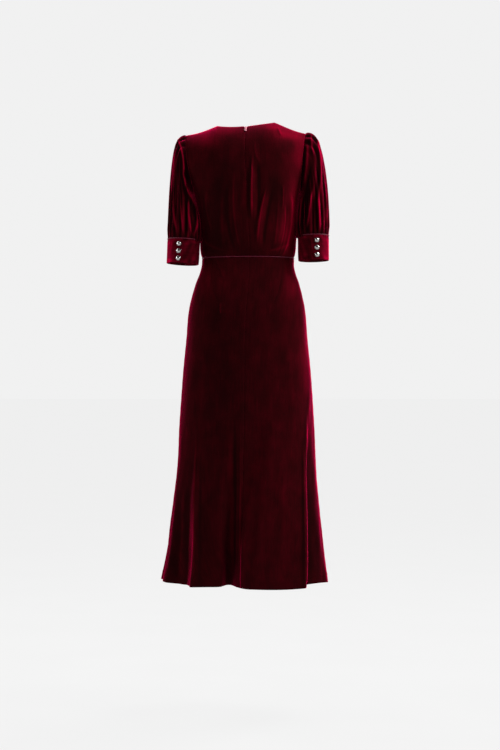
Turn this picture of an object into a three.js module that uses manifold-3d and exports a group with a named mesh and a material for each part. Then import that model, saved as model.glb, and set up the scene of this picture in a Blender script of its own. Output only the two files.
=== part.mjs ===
// A velvet midi dress with gathered elbow-length sleeves, seen as it is worn: hollow, filled out and open
// at the neck, cuffs and hem. Millimetres, +Z up. The front faces -Y and the dress's own left is +X.
// The origin lies midway between the two points where the shoulder seams meet the neck.
import * as THREE from "three";
import Module from "manifold-3d";

const wasm = await Module();
wasm.setup();

// Cloth and seams
const CLOTH = 2; // velvet with its pile and seam turnings
const SEAM = 0.3; // distance between two sewn pieces
const ARM_GAP = 1.1; // from the armhole's line to the sleeve's own edge
const PIPING = 1.2; // radius of the piping in the waist and cuff seams
const PIPED = 2 * PIPING + 2 * SEAM; // distance between the pieces above and below a piping

// Lengths down from the shoulder point at the neck
const WAIST = -368;
const HEM = -1256;
const UNDERARM = -195;

// Neck and shoulders
const NECK_HALF = 82;
const NECK_BACK = -9; // drop of the neck edge at the centre back
const NECK_FRONT = -78;
const SHOULDER_HALF = 163;
const SHOULDER_FALL = 28.5; // from the neck to the armhole
const FALL_SPAN = [78, 178];
const BACK_ARCH = 150; // height over which the back rounds over into the shoulder seam
const FRONT_ARCH = 220;
const TILT = { rate: 0.093, reach: 120 }; // the right shoulder is carried higher
const ARM_DEPTH = 2.2; // how square the armhole is at its foot
const ARM_ROUND = 0.45;

// Bust fullness that the front darts give
const BUST = { reach: 9, out: 70, z: -245, wide: 46, high: 52 };

// Sections of the body of the dress: half its width, its depth behind and in front of the side seam,
// the side seam's own y, the shifts of the section's middle and of the centre back seam along X, and how
// square the section is.
const SECTIONS = [
  { z: 0, half: 192, back: 102, front: 115, mid: 0, shift: 3, seam: 0, square: 2.4 },
  { z: -50, half: 187, back: 102, front: 115, mid: 0, shift: 6, seam: 0, square: 2.4 },
  { z: -100, half: 177, back: 102, front: 115, mid: -1, shift: 6, seam: 0, square: 2.4 },
  { z: -150, half: 161, back: 102, front: 118, mid: -2, shift: 3, seam: 0, square: 2.4 },
  { z: -195, half: 146, back: 101, front: 123, mid: -4, shift: 0, seam: 0, square: 2.4 },
  { z: -235, half: 137, back: 98, front: 124, mid: -5, shift: -1, seam: -1, square: 2.4 },
  { z: -280, half: 131.5, back: 94, front: 118, mid: -6, shift: -2, seam: -2, square: 2.4 },
  { z: -325, half: 129.5, back: 89, front: 108, mid: -6, shift: -3, seam: -3, square: 2.3 },
  { z: -352, half: 129.5, back: 85, front: 101, mid: -6, shift: -3, seam: -4, square: 2.3 },
  { z: WAIST, half: 126.5, back: 80, front: 95, mid: -6, shift: -3, seam: -4, square: 2.3 },
  { z: -400, half: 129, back: 87, front: 98, mid: -5, shift: -2, seam: -4, square: 2.3 },
  { z: -444, half: 144, back: 101, front: 104, mid: -3, shift: -1, seam: -2, square: 2.25 },
  { z: -510, half: 159.5, back: 117, front: 110, mid: 0, shift: 0, seam: 2, square: 2.2 },
  { z: -590, half: 166.5, back: 123, front: 114, mid: 0, shift: 0, seam: 6, square: 2.15 },
  { z: -700, half: 177, back: 124, front: 120, mid: 0, shift: 0, seam: 7, square: 2.1 },
  { z: -840, half: 186, back: 126, front: 127, mid: 0, shift: 1, seam: 8, square: 2.05 },
  { z: -930, half: 190, back: 126, front: 130, mid: 0, shift: 1, seam: 9, square: 2 },
  { z: -1016, half: 198, back: 126, front: 133, mid: 0, shift: 2, seam: 10, square: 2 },
  { z: -1104, half: 208, back: 126, front: 136, mid: 0, shift: 3, seam: 11, square: 2 },
  { z: -1192, half: 218, back: 126, front: 139, mid: 0, shift: 4, seam: 12, square: 2 },
  { z: HEM, half: 228, back: 125, front: 141, mid: 0, shift: 5, seam: 12, square: 2 },
];

// Flares of the skirt. Angles in degrees run from the centre back towards the dress's left: a flare
// rises from its foot to its crest, keeps its reach along the crest and falls to its other foot.
// Reach is at the hem, top is the height where the flare starts, lap leans its sides outwards, and slant
// turns its top away from where it lies at the hem.
const FLARES = [
  { foot: -44.5, crest: -37.5, crestEnd: -6, footEnd: 7.5, reach: 58, top: -760, lap: 7, slant: -22 },
  { foot: 9.5, crest: 17, crestEnd: 33, footEnd: 41, reach: 26, top: -930, lap: 5, slant: 4 },
  { foot: 2.5, crest: 8, crestEnd: 9, footEnd: 14.5, reach: -24, top: -860, lap: 0, slant: 0 },
  { foot: 37.5, crest: 48, crestEnd: 56, footEnd: 73, reach: -24, top: -900, lap: 0, slant: 6 },
  { foot: 104, crest: 116, crestEnd: 128, footEnd: 141, reach: 34, top: -840, lap: 5, slant: 0 },
  { foot: 150, crest: 163, crestEnd: 184, footEnd: 197, reach: 40, top: -800, lap: 6, slant: 0 },
  { foot: 205, crest: 217, crestEnd: 231, footEnd: 244, reach: 36, top: -860, lap: 5, slant: 0 },
];

// Sleeves. The cuff's two ends are given by their middles, and out is its half width along X.
const SLEEVES = [
  {
    side: 1,
    name: "left",
    top: [172.4, 28, -320],
    foot: [176, 30, -386],
    out: 44,
    deep: 46,
    rise: -3,
    button: 13,
    firstButton: 15,
    lapEdge: 0,
    turn: 0,
  },
  {
    side: -1,
    name: "right",
    top: [181, 28, -309],
    foot: [182.2, 30, -377],
    out: 42,
    deep: 45,
    rise: 11,
    button: 10,
    firstButton: 16,
    lapEdge: -9,
    turn: 0.7,
  },
];
const CAP = { out: 46, outLow: 0.5, side: 8, drop: 34 }; // how the sleeve leaves the armhole
const HANG = { outer: 205, inner: 62 }; // how far up the cuff's direction carries
const GATHERS = 21; // gathers round each cuff
const GATHER_DEPTH = 2.2;
const PLEAT_ANGLE = 20; // degrees of armhole for each pleat in the sleeve head
const PLEAT_DEPTH = 2.4;
const PLEAT_SPAN = 78; // degrees each side of the shoulder that are pleated
const BLOUSE = 1.2; // how far the sleeve stands over the cuff

// Cuffs, buttons and zip
const CUFF_OVERLAP = 34; // degrees of cuff that lie under the buttoned end
const BUTTON = { radius: 6.5, dome: 3.2, rim: 1.1, shank: 1.8, shankHigh: 1.3, pitch: 19.8 };
const NOTCH = { half: 4.2, deep: 18 }; // the neck edge opens above the zip's slider
const ZIP_END = -560;
const TAPE = 1;
const SLIDER = { from: 5.5, long: 7, topHalf: 2.3, footHalf: 1.1, proud: 1.2 };
const TAB = { eye: 1.05, ring: 0.7, bridge: 1.4, thick: 1, arm: 1, window: 3.2, long: 20, neck: 2.2, tip: 3 };
const TAB_LEAN = 6.4; // degrees by which the pull tab leans in to lie on the cloth

// Grid sizes
const BODICE_COLUMNS = 11;
const NECK_COLUMNS = 5;
const SIDE_ROWS = 5;
const ARM_ROWS = 14;
const SKIRT_COLUMNS = 15;
const SKIRT_ROWS = 14;
const SLEEVE_STEPS = [0, 0.06, 0.17, 0.32, 0.5, 0.68, 0.85, 0.95, 1];
const ARM_SPLIT = 3; // sleeve columns to each edge of the bodice's armhole
const CUFF_STEPS = 34;

const RAD = Math.PI / 180;
const vec = (x, y, z) => new THREE.Vector3(x, y, z);
const mix = (a, b, t) => a + (b - a) * t;
const clamp01 = (t) => Math.min(1, Math.max(0, t));

// 0 at a, 1 at b, with level ends
function smooth(a, b, value) {
  const t = clamp01((value - a) / (b - a));
  return t * t * (3 - 2 * t);
}

// A column of the sections at a height: a cubic through the rows, level with its neighbours' chord
function section(column, z) {
  const last = SECTIONS.length - 1;
  let i = 0;
  while (i < last - 1 && z < SECTIONS[i + 1].z) i++;
  const slope = (k) => {
    const above = SECTIONS[Math.max(0, k - 1)];
    const below = SECTIONS[Math.min(last, k + 1)];
    return (below[column] - above[column]) / (below.z - above.z);
  };
  const a = SECTIONS[i];
  const b = SECTIONS[i + 1];
  const h = b.z - a.z;
  const t = clamp01((z - a.z) / h);
  return (
    a[column] * (1 + 2 * t) * (1 - t) ** 2 +
    slope(i) * h * t * (1 - t) ** 2 +
    b[column] * t * t * (3 - 2 * t) +
    slope(i + 1) * h * t * t * (t - 1)
  );
}

// A point of a rounded square of half side 1, at an angle from the centre back
function unitSection(angle, square) {
  const s = Math.sin(angle * RAD);
  const c = Math.cos(angle * RAD);
  const r = (Math.abs(s) ** square + Math.abs(c) ** square) ** (-1 / square);
  return [s * r, c * r];
}

// The angle at which the unit section lies at a share of its half width
function angleAt(share, square) {
  const rest = (1 - share ** square) ** (1 / square);
  return Math.atan2(share, rest) / RAD;
}

// How far a section of the upper body has rounded over towards the shoulder seam: 0 at the seam
function arch(level, high) {
  const t = Math.min(1, -level / high);
  return Math.sqrt(Math.max(0, 1 - (1 - t) ** 2));
}

function shoulderFall(x) {
  const t = clamp01((Math.abs(x) - FALL_SPAN[0]) / (FALL_SPAN[1] - FALL_SPAN[0]));
  return SHOULDER_FALL * Math.sin(90 * RAD * t ** 1.05);
}

const tilt = (x) => TILT.rate * x * Math.exp(-((x / TILT.reach) ** 2));

// The bodice: a point at an angle and a level, where level 0 is the shoulder seam
function bodice(angle, level) {
  const square = section("square", level);
  const [s, c] = unitSection(angle, square);
  const x = section("half", level) * s;
  const behind = c > 0;
  const depth = section(behind ? "back" : "front", level) * arch(level, behind ? BACK_ARCH : FRONT_ARCH);
  let y = section("mid", level) + depth * c;
  if (!behind) {
    const away = ((Math.abs(x) - BUST.out) / BUST.wide) ** 2 + ((level - BUST.z) / BUST.high) ** 2;
    y -= BUST.reach * Math.exp(-away);
  }
  const fallen = 1 - smooth(0, -UNDERARM, -level);
  const tilted = 1 - smooth(150, -WAIST, -level);
  const z = level - shoulderFall(x) * fallen - tilt(x) * tilted;
  return vec(x + section("shift", level) + section("seam", level) * Math.max(0, c) ** 3, y, z);
}

// How full a flare is at an angle: 0 at its feet and 1 along its crest
function flareAt(f, angle) {
  const middle = (f.foot + f.footEnd) / 2;
  const turn = ((((angle - middle) % 360) + 540) % 360) - 180;
  const at = middle + turn;
  return smooth(f.foot, f.crest, at) * (1 - smooth(f.crestEnd, f.footEnd, at));
}

// The skirt: a point at an angle and a height, with its flares
function skirt(angle, z) {
  const square = section("square", z);
  const [s, c] = unitSection(angle, square);
  const half = section("half", z);
  const depth = section(c > 0 ? "back" : "front", z);
  const out = vec(s / half, c / depth, 0).normalize();
  const along = vec(out.y, -out.x, 0);
  const x = half * s + section("shift", z) + section("seam", z) * Math.max(0, c) ** 3;
  const point = vec(x, section("mid", z) + depth * c, z);
  for (const f of FLARES) {
    const down = clamp01((z - f.top) / (HEM - f.top));
    const grown = down ** 1.15;
    const at = angle - f.slant * (1 - down);
    const full = flareAt(f, at);
    const lean = flareAt(f, at + 1.5) - flareAt(f, at - 1.5);
    point.addScaledVector(out, f.reach * grown * full);
    point.addScaledVector(along, -f.lap * grown * lean * full * 2);
  }
  return point;
}

// A point and its outward normal on a surface of two values. The bodice is stepped in the root of its
// level, because it rounds over at the shoulder seam.
function onSkirt(angle, z) {
  const step = 0.4;
  const along = skirt(angle + step, z).sub(skirt(angle - step, z));
  const up = skirt(angle, Math.min(z + step, WAIST)).sub(skirt(angle, z - step));
  return { point: skirt(angle, z), normal: along.cross(up).normalize().negate() };
}

function onBodice(angle, level) {
  const step = 0.02;
  const root = Math.sqrt(Math.max(0, -level));
  const low = bodice(angle, -((root + step) ** 2));
  const high = bodice(angle, -(Math.max(0, root - step) ** 2));
  const along = bodice(angle + 0.3, level).sub(bodice(angle - 0.3, level));
  return { point: bodice(angle, level), normal: along.cross(high.sub(low)).normalize().negate() };
}

// The armhole: how far round the body it lies at a level, as a share of the quarter turn to the side
const ARM_TOP = angleAt(SHOULDER_HALF / SECTIONS[0].half, SECTIONS[0].square) / 90;
function armholeShare(level) {
  const t = clamp01(level / UNDERARM);
  return 1 - (1 - ARM_TOP) * (1 - t ** ARM_DEPTH) ** ARM_ROUND;
}

const rootOf = (level) => Math.sqrt(-level);

// Level of the armhole at a turn of 0 degrees at the shoulder, 180 at the underarm
const armholeLevel = (turn) => (UNDERARM * (1 - Math.cos(turn * RAD))) / 2;

// The neck edge as share and root, from the centre (0) to the shoulder (1), for the back or the front
function neckEdge(along, behind) {
  const top = SECTIONS[0];
  const x = NECK_HALF * Math.sin(along * 90 * RAD);
  const share = angleAt(x / top.half, top.square) / 90;
  const high = behind ? BACK_ARCH : FRONT_ARCH;
  const lowest = behind ? NECK_BACK : NECK_FRONT;
  const [, c] = unitSection(share * 90, top.square);
  const reach = (arch(lowest, high) * Math.cos(along * 90 * RAD)) / c;
  return { share, root: rootOf(-high * (1 - Math.sqrt(Math.max(0, 1 - Math.min(1, reach) ** 2)))) };
}

const NECK_SHARE = neckEdge(1, true).share;

// One quarter of the bodice, filled in from its four edges. It works with the root of the depth below the
// shoulder seam, which brings the rows closer together where the cloth rounds over the shoulder.
function bodiceQuarter(behind) {
  const rows = SIDE_ROWS + ARM_ROWS;
  const waist = WAIST + PIPED / 2;
  const neck = behind ? NECK_BACK : NECK_FRONT;
  const side = (i) => {
    if (i <= SIDE_ROWS) return { share: 1, root: rootOf(mix(waist, UNDERARM, i / SIDE_ROWS)) };
    const level = armholeLevel(180 * (1 - (i - SIDE_ROWS) / ARM_ROWS));
    return { share: armholeShare(level), root: rootOf(level) };
  };
  const centre = (i) => {
    const level = i === rows ? neck : mix(waist, neck - NOTCH.deep, i / (rows - 1));
    return { share: 0, root: rootOf(level) };
  };
  const shoulder = (t) => ({ share: mix(NECK_SHARE, ARM_TOP, t), root: 0 });
  const top = (j) =>
    j <= NECK_COLUMNS
      ? neckEdge(j / NECK_COLUMNS, behind)
      : shoulder((j - NECK_COLUMNS) / (BODICE_COLUMNS - NECK_COLUMNS));
  const grid = [];
  for (let i = 0; i <= rows; i++) {
    const v = i / rows;
    const row = [];
    for (let j = 0; j <= BODICE_COLUMNS; j++) {
      const u = j / BODICE_COLUMNS;
      const fill = (key) => {
        const low = key === "share" ? u : rootOf(waist);
        const corners =
          (1 - u) * (1 - v) * centre(0)[key] +
          u * (1 - v) * side(0)[key] +
          (1 - u) * v * centre(rows)[key] +
          u * v * side(rows)[key];
        const across = (1 - v) * low + v * top(j)[key];
        return across + (1 - u) * centre(i)[key] + u * side(i)[key] - corners;
      };
      row.push({ share: fill("share"), level: -(Math.max(0, fill("root")) ** 2) });
    }
    grid.push(row);
  }
  return grid;
}

const backQuarter = bodiceQuarter(true);
const frontQuarter = bodiceQuarter(false);

// Moves a grid's edge points in from a seam by half the seam's gap
function insetSeams(grid, closed) {
  const rows = grid.length;
  const columns = grid[0].length;
  const moved = grid.map((row) => row.map((q) => q.point.clone()));
  const pull = (i, j, k, l) => {
    const inwards = grid[k][l].point.clone().sub(grid[i][j].point).normalize();
    moved[i][j].addScaledVector(inwards, SEAM / 2);
  };
  for (let j = 0; j < columns; j++) {
    pull(0, j, 1, j);
    pull(rows - 1, j, rows - 2, j);
  }
  if (!closed)
    for (let i = 0; i < rows; i++) {
      pull(i, 0, i, 1);
      pull(i, columns - 1, i, columns - 2);
    }
  return grid.map((row, i) => row.map((q, j) => ({ point: moved[i][j], normal: q.normal })));
}

// A closed wall of cloth from a grid of outer points: the inner face lies thick below the outer one
function wall(grid, thick, closed = false) {
  const rows = grid.length;
  const columns = grid[0].length;
  const positions = [];
  for (const depth of [0, -thick])
    for (const row of grid)
      for (const q of row) positions.push(...q.point.clone().addScaledVector(q.normal, depth).toArray());
  const layer = rows * columns;
  const at = (face, i, j) => face * layer + i * columns + (j % columns);
  const index = [];
  const quad = (a, b, c, d) => index.push(a, b, c, a, c, d);
  const across = closed ? columns : columns - 1;
  for (let i = 0; i < rows - 1; i++)
    for (let j = 0; j < across; j++) {
      quad(at(0, i, j), at(0, i, j + 1), at(0, i + 1, j + 1), at(0, i + 1, j));
      quad(at(1, i, j), at(1, i + 1, j), at(1, i + 1, j + 1), at(1, i, j + 1));
    }
  for (let j = 0; j < across; j++) {
    quad(at(1, 0, j), at(1, 0, j + 1), at(0, 0, j + 1), at(0, 0, j));
    quad(at(0, rows - 1, j), at(0, rows - 1, j + 1), at(1, rows - 1, j + 1), at(1, rows - 1, j));
  }
  if (!closed)
    for (let i = 0; i < rows - 1; i++) {
      quad(at(0, i, 0), at(0, i + 1, 0), at(1, i + 1, 0), at(1, i, 0));
      quad(at(1, i, columns - 1), at(1, i + 1, columns - 1), at(0, i + 1, columns - 1), at(0, i, columns - 1));
    }
  return facingOut(positions, index);
}

// A geometry from points and triangles, turned over where its faces point in
function facingOut(positions, index) {
  const at = (k) => vec(positions[3 * k], positions[3 * k + 1], positions[3 * k + 2]);
  let volume = 0;
  for (let k = 0; k < index.length; k += 3)
    volume += at(index[k]).dot(at(index[k + 1]).cross(at(index[k + 2])));
  if (volume < 0)
    for (let k = 0; k < index.length; k += 3) [index[k + 1], index[k + 2]] = [index[k + 2], index[k + 1]];
  const geometry = new THREE.BufferGeometry();
  geometry.setAttribute("position", new THREE.Float32BufferAttribute(positions, 3));
  geometry.setIndex(index);
  geometry.computeVertexNormals();
  return geometry;
}

// A round cord along points, each with the direction that its section's first corner faces
function cord(path, radius, sides, closed) {
  const count = path.length;
  const positions = [];
  for (let k = 0; k < count; k++) {
    const before = path[closed ? (k + count - 1) % count : Math.max(0, k - 1)].point;
    const after = path[closed ? (k + 1) % count : Math.min(count - 1, k + 1)].point;
    const along = after.clone().sub(before).normalize();
    const out = path[k].normal.clone().addScaledVector(along, -path[k].normal.dot(along)).normalize();
    const across = along.clone().cross(out);
    for (let m = 0; m < sides; m++) {
      const turn = (2 * Math.PI * m) / sides;
      const p = path[k].point.clone();
      p.addScaledVector(out, radius * Math.cos(turn)).addScaledVector(across, radius * Math.sin(turn));
      positions.push(...p.toArray());
    }
  }
  const index = [];
  const at = (k, m) => (k % count) * sides + (m % sides);
  for (let k = 0; k < (closed ? count : count - 1); k++)
    for (let m = 0; m < sides; m++) {
      index.push(at(k, m), at(k + 1, m), at(k + 1, m + 1));
      index.push(at(k, m), at(k + 1, m + 1), at(k, m + 1));
    }
  if (!closed)
    for (let m = 1; m < sides - 1; m++) {
      index.push(at(0, 0), at(0, m), at(0, m + 1));
      index.push(at(count - 1, 0), at(count - 1, m + 1), at(count - 1, m));
    }
  return facingOut(positions, index);
}

const materials = {
  velvet: { color: 0x4a0714, roughness: 0.85, metalness: 0 },
  piping: { color: 0x6d1a2c, roughness: 0.6, metalness: 0 },
  button: { color: 0xb9b7b4, roughness: 0.12, metalness: 1 },
  tape: { color: 0x2c050c, roughness: 0.8, metalness: 0 },
  zip: { color: 0x8a4552, roughness: 0.35, metalness: 0.8 },
};

const dress = new THREE.Group();

function piece(name, geometry, finish) {
  const mesh = new THREE.Mesh(geometry, new THREE.MeshStandardMaterial(materials[finish]));
  mesh.name = name;
  dress.add(mesh);
  return mesh;
}

// Bodice panels. The back is in two halves that open in a notch at the neck above the zip.
function backGrid(side) {
  return insetSeams(
    backQuarter.map((row, i) =>
      row.map((q, j) => {
        const on = onBodice(side * q.share * 90, q.level);
        if (j === 0 && i === backQuarter.length - 1) on.point.x += side * NOTCH.half;
        return on;
      }),
    ),
  );
}

function frontGrid() {
  const half = (side) =>
    frontQuarter.map((row) => row.map((q) => onBodice(side * (180 - q.share * 90), q.level)));
  const left = half(1);
  const right = half(-1);
  return insetSeams(left.map((row, i) => [...row.slice(1).reverse(), ...right[i]]));
}

const backPanels = { left: backGrid(1), right: backGrid(-1) };
piece("bodice_back_left", wall(backPanels.left, CLOTH), "velvet");
piece("bodice_back_right", wall(backPanels.right, CLOTH), "velvet");
piece("bodice_front", wall(frontGrid(), CLOTH), "velvet");

// Skirt panels: two behind and one in front, with rows closer together near the waist
const skirtHeights = Array.from({ length: SKIRT_ROWS + 1 }, (_, i) => {
  const t = i / SKIRT_ROWS;
  return mix(WAIST - PIPED / 2, HEM, t ** 1.25);
});

function skirtGrid(from, to, columns) {
  return skirtHeights.map((z) =>
    Array.from({ length: columns + 1 }, (_, j) => onSkirt(mix(from, to, j / columns), z)),
  );
}

// The first column is as wide as the zip's tape, and the others share what is left of the quarter turn
function backSkirtGrid(side) {
  const tape = 5;
  return skirtHeights.map((z) =>
    Array.from({ length: SKIRT_COLUMNS + 1 }, (_, j) =>
      onSkirt(side * (j === 0 ? 0 : mix(tape, 90, (j - 1) / (SKIRT_COLUMNS - 1))), z),
    ),
  );
}

const backSkirts = { left: backSkirtGrid(1), right: backSkirtGrid(-1) };
piece("skirt_back_left", wall(insetSeams(backSkirts.left), CLOTH), "velvet");
piece("skirt_back_right", wall(insetSeams(backSkirts.right), CLOTH), "velvet");
piece("skirt_front", wall(insetSeams(skirtGrid(90, 270, 2 * SKIRT_COLUMNS)), CLOTH), "velvet");

// Piping in the waist seam, one length for each panel below it, sunk half into the wall's depth
function waistPiping(from, to, steps) {
  const gap = 0.15;
  const path = Array.from({ length: steps + 1 }, (_, j) => {
    const on = onSkirt(mix(from + Math.sign(to - from) * gap, to - Math.sign(to - from) * gap, j / steps), WAIST);
    on.normal.z = 0;
    on.normal.normalize();
    on.point.addScaledVector(on.normal, -CLOTH * 0.3);
    return on;
  });
  return cord(path, PIPING, 6, false);
}
piece("waist_piping_back_left", waistPiping(0, 90, 14), "piping");
piece("waist_piping_back_right", waistPiping(0, -90, 14), "piping");
piece("waist_piping_front", waistPiping(90, 270, 26), "piping");

// Sleeves

// The frame of a cuff: its middle at a share of its height, its own down direction and its ring
function cuffFrame(s) {
  const mirror = (p) => vec(s.side * p[0], p[1], p[2]);
  const top = mirror(s.top);
  const foot = mirror(s.foot);
  const down = foot.clone().sub(top).normalize();
  const back = vec(0, 1, 0).addScaledVector(down, -down.y).normalize();
  const out = back.clone().cross(down).multiplyScalar(-s.side).normalize();
  if (out.x * s.side < 0) out.negate();
  return { top, foot, down, back, out, high: top.distanceTo(foot) };
}

// A point of the ring that the cuff follows: turn 0 faces outwards and 90 faces the back
function cuffRing(s, frame, share, turn, grown) {
  const p = frame.top.clone().lerp(frame.foot, share);
  p.addScaledVector(frame.out, (s.out + grown) * Math.cos(turn * RAD));
  return p.addScaledVector(frame.back, (s.deep + grown) * Math.sin(turn * RAD));
}

// The armhole seam at a turn: 0 at the shoulder, 90 at the back, 180 at the underarm
function armhole(s, turn) {
  const behind = turn <= 180;
  const level = armholeLevel(turn);
  const share = armholeShare(level) * 90;
  return bodice(s.side * (behind ? share : 180 - share), level);
}

// The sleeve without its folds: from the armhole it leaves sideways and then hangs to the cuff
function hang(s, frame, start, turn, t) {
  const upper = (1 + Math.cos(turn * RAD)) / 2;
  const lower = 1 - upper;
  const leave = vec(
    s.side * mix(CAP.outLow, CAP.out, upper ** 0.8),
    CAP.side * Math.sin(turn * RAD),
    s.rise * upper * Math.cos(turn * RAD) - CAP.drop * lower ** 2,
  );
  const clear = start.clone().addScaledVector(leave.clone().normalize(), ARM_GAP);
  const end = cuffRing(s, frame, 0, turn, 0);
  const lift = mix(HANG.inner, HANG.outer, upper ** 1.2);
  const control = end.clone().addScaledVector(frame.down, -lift);
  const p = clear.clone().multiplyScalar((1 - t) ** 3);
  p.addScaledVector(clear.clone().add(leave), 3 * t * (1 - t) ** 2);
  p.addScaledVector(control, 3 * t * t * (1 - t));
  return p.addScaledVector(end, t ** 3);
}

// How far a fold stands out at a place on the sleeve
function sleeveFold(s, turn, t) {
  const inner = 1 - 0.75 * smooth(110, 180, 180 - Math.abs(180 - turn));
  const gathered = smooth(0.3, 0.9, t) * (1 - 0.7 * smooth(0.93, 1, t));
  const uneven = 0.8 * Math.sin(3 * turn * RAD + 2 * s.turn);
  const gather = GATHER_DEPTH * gathered * Math.cos(GATHERS * turn * RAD + uneven + s.turn);
  const fromTop = turn > 180 ? turn - 360 : turn;
  const headed = smooth(0, 0.07, t) * (1 - smooth(0.12, 0.62, t));
  const window = 1 - smooth(PLEAT_SPAN - 25, PLEAT_SPAN, Math.abs(fromTop));
  const pleat = PLEAT_DEPTH * headed * window * Math.cos((360 * RAD * fromTop) / PLEAT_ANGLE);
  const blouse = BLOUSE * smooth(0.6, 0.94, t) * (1 - smooth(0.95, 1, t));
  return inner * (gather + pleat + blouse);
}

function sleeveGrid(s) {
  const frame = cuffFrame(s);
  const edges = 2 * ARM_ROWS;
  const turns = edges * ARM_SPLIT;
  const starts = Array.from({ length: turns }, (_, k) => {
    const edge = Math.floor(k / ARM_SPLIT);
    const end = armhole(s, (((edge + 1) % edges) * 360) / edges);
    return armhole(s, (edge * 360) / edges).lerp(end, (k % ARM_SPLIT) / ARM_SPLIT);
  });
  const startAt = (turn) => {
    const k = ((((turn / 360) * turns) % turns) + turns) % turns;
    const low = Math.floor(k) % turns;
    return starts[low].clone().lerp(starts[(low + 1) % turns], k - Math.floor(k));
  };
  const plain = (turn, t) => hang(s, frame, startAt(turn), (turn + 360) % 360, t);
  const normalAt = (turn, t) => {
    const a = Math.min(1, t + 0.02);
    const b = Math.max(0, t - 0.02);
    const along = plain(turn, a).sub(plain(turn, b));
    const round = plain(turn + 3, t).sub(plain(turn - 3, t));
    return along.cross(round).multiplyScalar(s.side).normalize();
  };
  return SLEEVE_STEPS.map((t) =>
    Array.from({ length: turns }, (_, k) => {
      const turn = (k * 360) / turns;
      const normal = normalAt(turn, t);
      const last = t === 1 ? frame.down.clone().multiplyScalar(-PIPED / 2 + SEAM / 2) : vec(0, 0, 0);
      return { point: plain(turn, t).addScaledVector(normal, sleeveFold(s, turn, t)).add(last), normal };
    }),
  );
}

// The cuff is one band. It starts at its buttoned end, runs round the arm and ends under its own start.
function cuffGrid(s) {
  const frame = cuffFrame(s);
  const first = 90 - s.lapEdge;
  const sweep = 360 + CUFF_OVERLAP;
  const raised = CLOTH + SEAM;
  const level = (share) => mix(PIPED / 2 / frame.high, 1, share);
  return [0, 0.5, 1].map((share) =>
    Array.from({ length: CUFF_STEPS + 1 }, (_, k) => {
      const gone = (sweep * k) / CUFF_STEPS;
      const turn = first - gone;
      const lifted = raised * (1 - smooth(CUFF_OVERLAP + 4, CUFF_OVERLAP + 60, gone));
      const point = cuffRing(s, frame, level(share), turn, lifted);
      const round = cuffRing(s, frame, level(share), turn + 1, lifted).sub(point);
      const normal = frame.down.clone().cross(round).multiplyScalar(s.side).normalize();
      return { point, normal };
    }),
  );
}

function cuffPiping(s) {
  const frame = cuffFrame(s);
  const steps = 30;
  const path = Array.from({ length: steps }, (_, k) => {
    const turn = (360 * k) / steps;
    const point = cuffRing(s, frame, 0, turn, -CLOTH * 0.3);
    return { point, normal: point.clone().sub(frame.top).normalize() };
  });
  return cord(path, PIPING, 6, true);
}

// A domed metal button on a short shank, its foot at the origin and its face towards +Y
function buttonGeometry() {
  const b = BUTTON;
  const profile = [
    [0, 0],
    [b.shank, 0],
    [b.shank, b.shankHigh],
    [b.radius - 0.8, b.shankHigh],
    [b.radius, b.shankHigh + b.rim],
    [b.radius * 0.8, b.shankHigh + b.rim + b.dome * 0.55],
    [b.radius * 0.42, b.shankHigh + b.rim + b.dome * 0.92],
    [0, b.shankHigh + b.rim + b.dome],
  ].map(([r, h]) => new THREE.Vector2(r, h));
  return new THREE.LatheGeometry(profile, 12);
}

for (const s of SLEEVES) {
  piece("sleeve_" + s.name, wall(sleeveGrid(s), CLOTH, true), "velvet");
  piece("cuff_" + s.name, wall(cuffGrid(s), CLOTH), "velvet");
  piece("cuff_piping_" + s.name, cuffPiping(s), "piping");
  const frame = cuffFrame(s);
  for (let k = 0; k < 3; k++) {
    const share = (s.firstButton + k * BUTTON.pitch) / frame.high;
    const turn = 90 - s.button;
    const raised = CLOTH + SEAM;
    const seat = cuffRing(s, frame, share, turn, raised);
    const round = cuffRing(s, frame, share, turn + 1, raised).sub(seat);
    const out = frame.down.clone().cross(round).multiplyScalar(s.side).normalize();
    const button = piece("button_" + s.name + "_" + (k + 1), buttonGeometry(), "button");
    button.position.copy(seat.addScaledVector(out, SEAM));
    button.quaternion.setFromUnitVectors(vec(0, 1, 0), out);
  }
}

// The zip: a tape behind the centre back seam, made from the panels' own points, with a slider in the
// notch at the neck and a pull tab that swings on the slider's bridge.
function tapeGeometry() {
  const deep = -(CLOTH + 0.7);
  const inwards = (q) => ({ point: q.point.clone().addScaledVector(q.normal, deep), normal: q.normal });
  const rowOf = (left, right) => [left[1], left[0], right[1]];
  const upper = backPanels.left.map((row, i) => rowOf(row, backPanels.right[i]));
  const middle = upper.map((row, i) => {
    const centre = { point: row[1].point.clone(), normal: row[1].normal };
    centre.point.x = (backPanels.left[i][0].point.x + backPanels.right[i][0].point.x) / 2;
    return [row[0], centre, row[2]];
  });
  const tapeHalf = 12;
  const narrow = (row) =>
    row.map((q) => {
      const centre = row[1].point;
      const away = q.point.distanceTo(centre);
      if (away < tapeHalf) return q;
      return { point: centre.clone().lerp(q.point, tapeHalf / away), normal: q.normal };
    });
  const lower = backSkirts.left.map((row, i) => rowOf(row, backSkirts.right[i]));
  const reach = lower.filter((row) => row[1].point.z > ZIP_END - 40);
  const rows = [...middle.reverse(), ...reach].map(narrow);
  return wall(rows.map((row) => row.map(inwards)), TAPE);
}
piece("zip_tape", tapeGeometry(), "tape");

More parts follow.
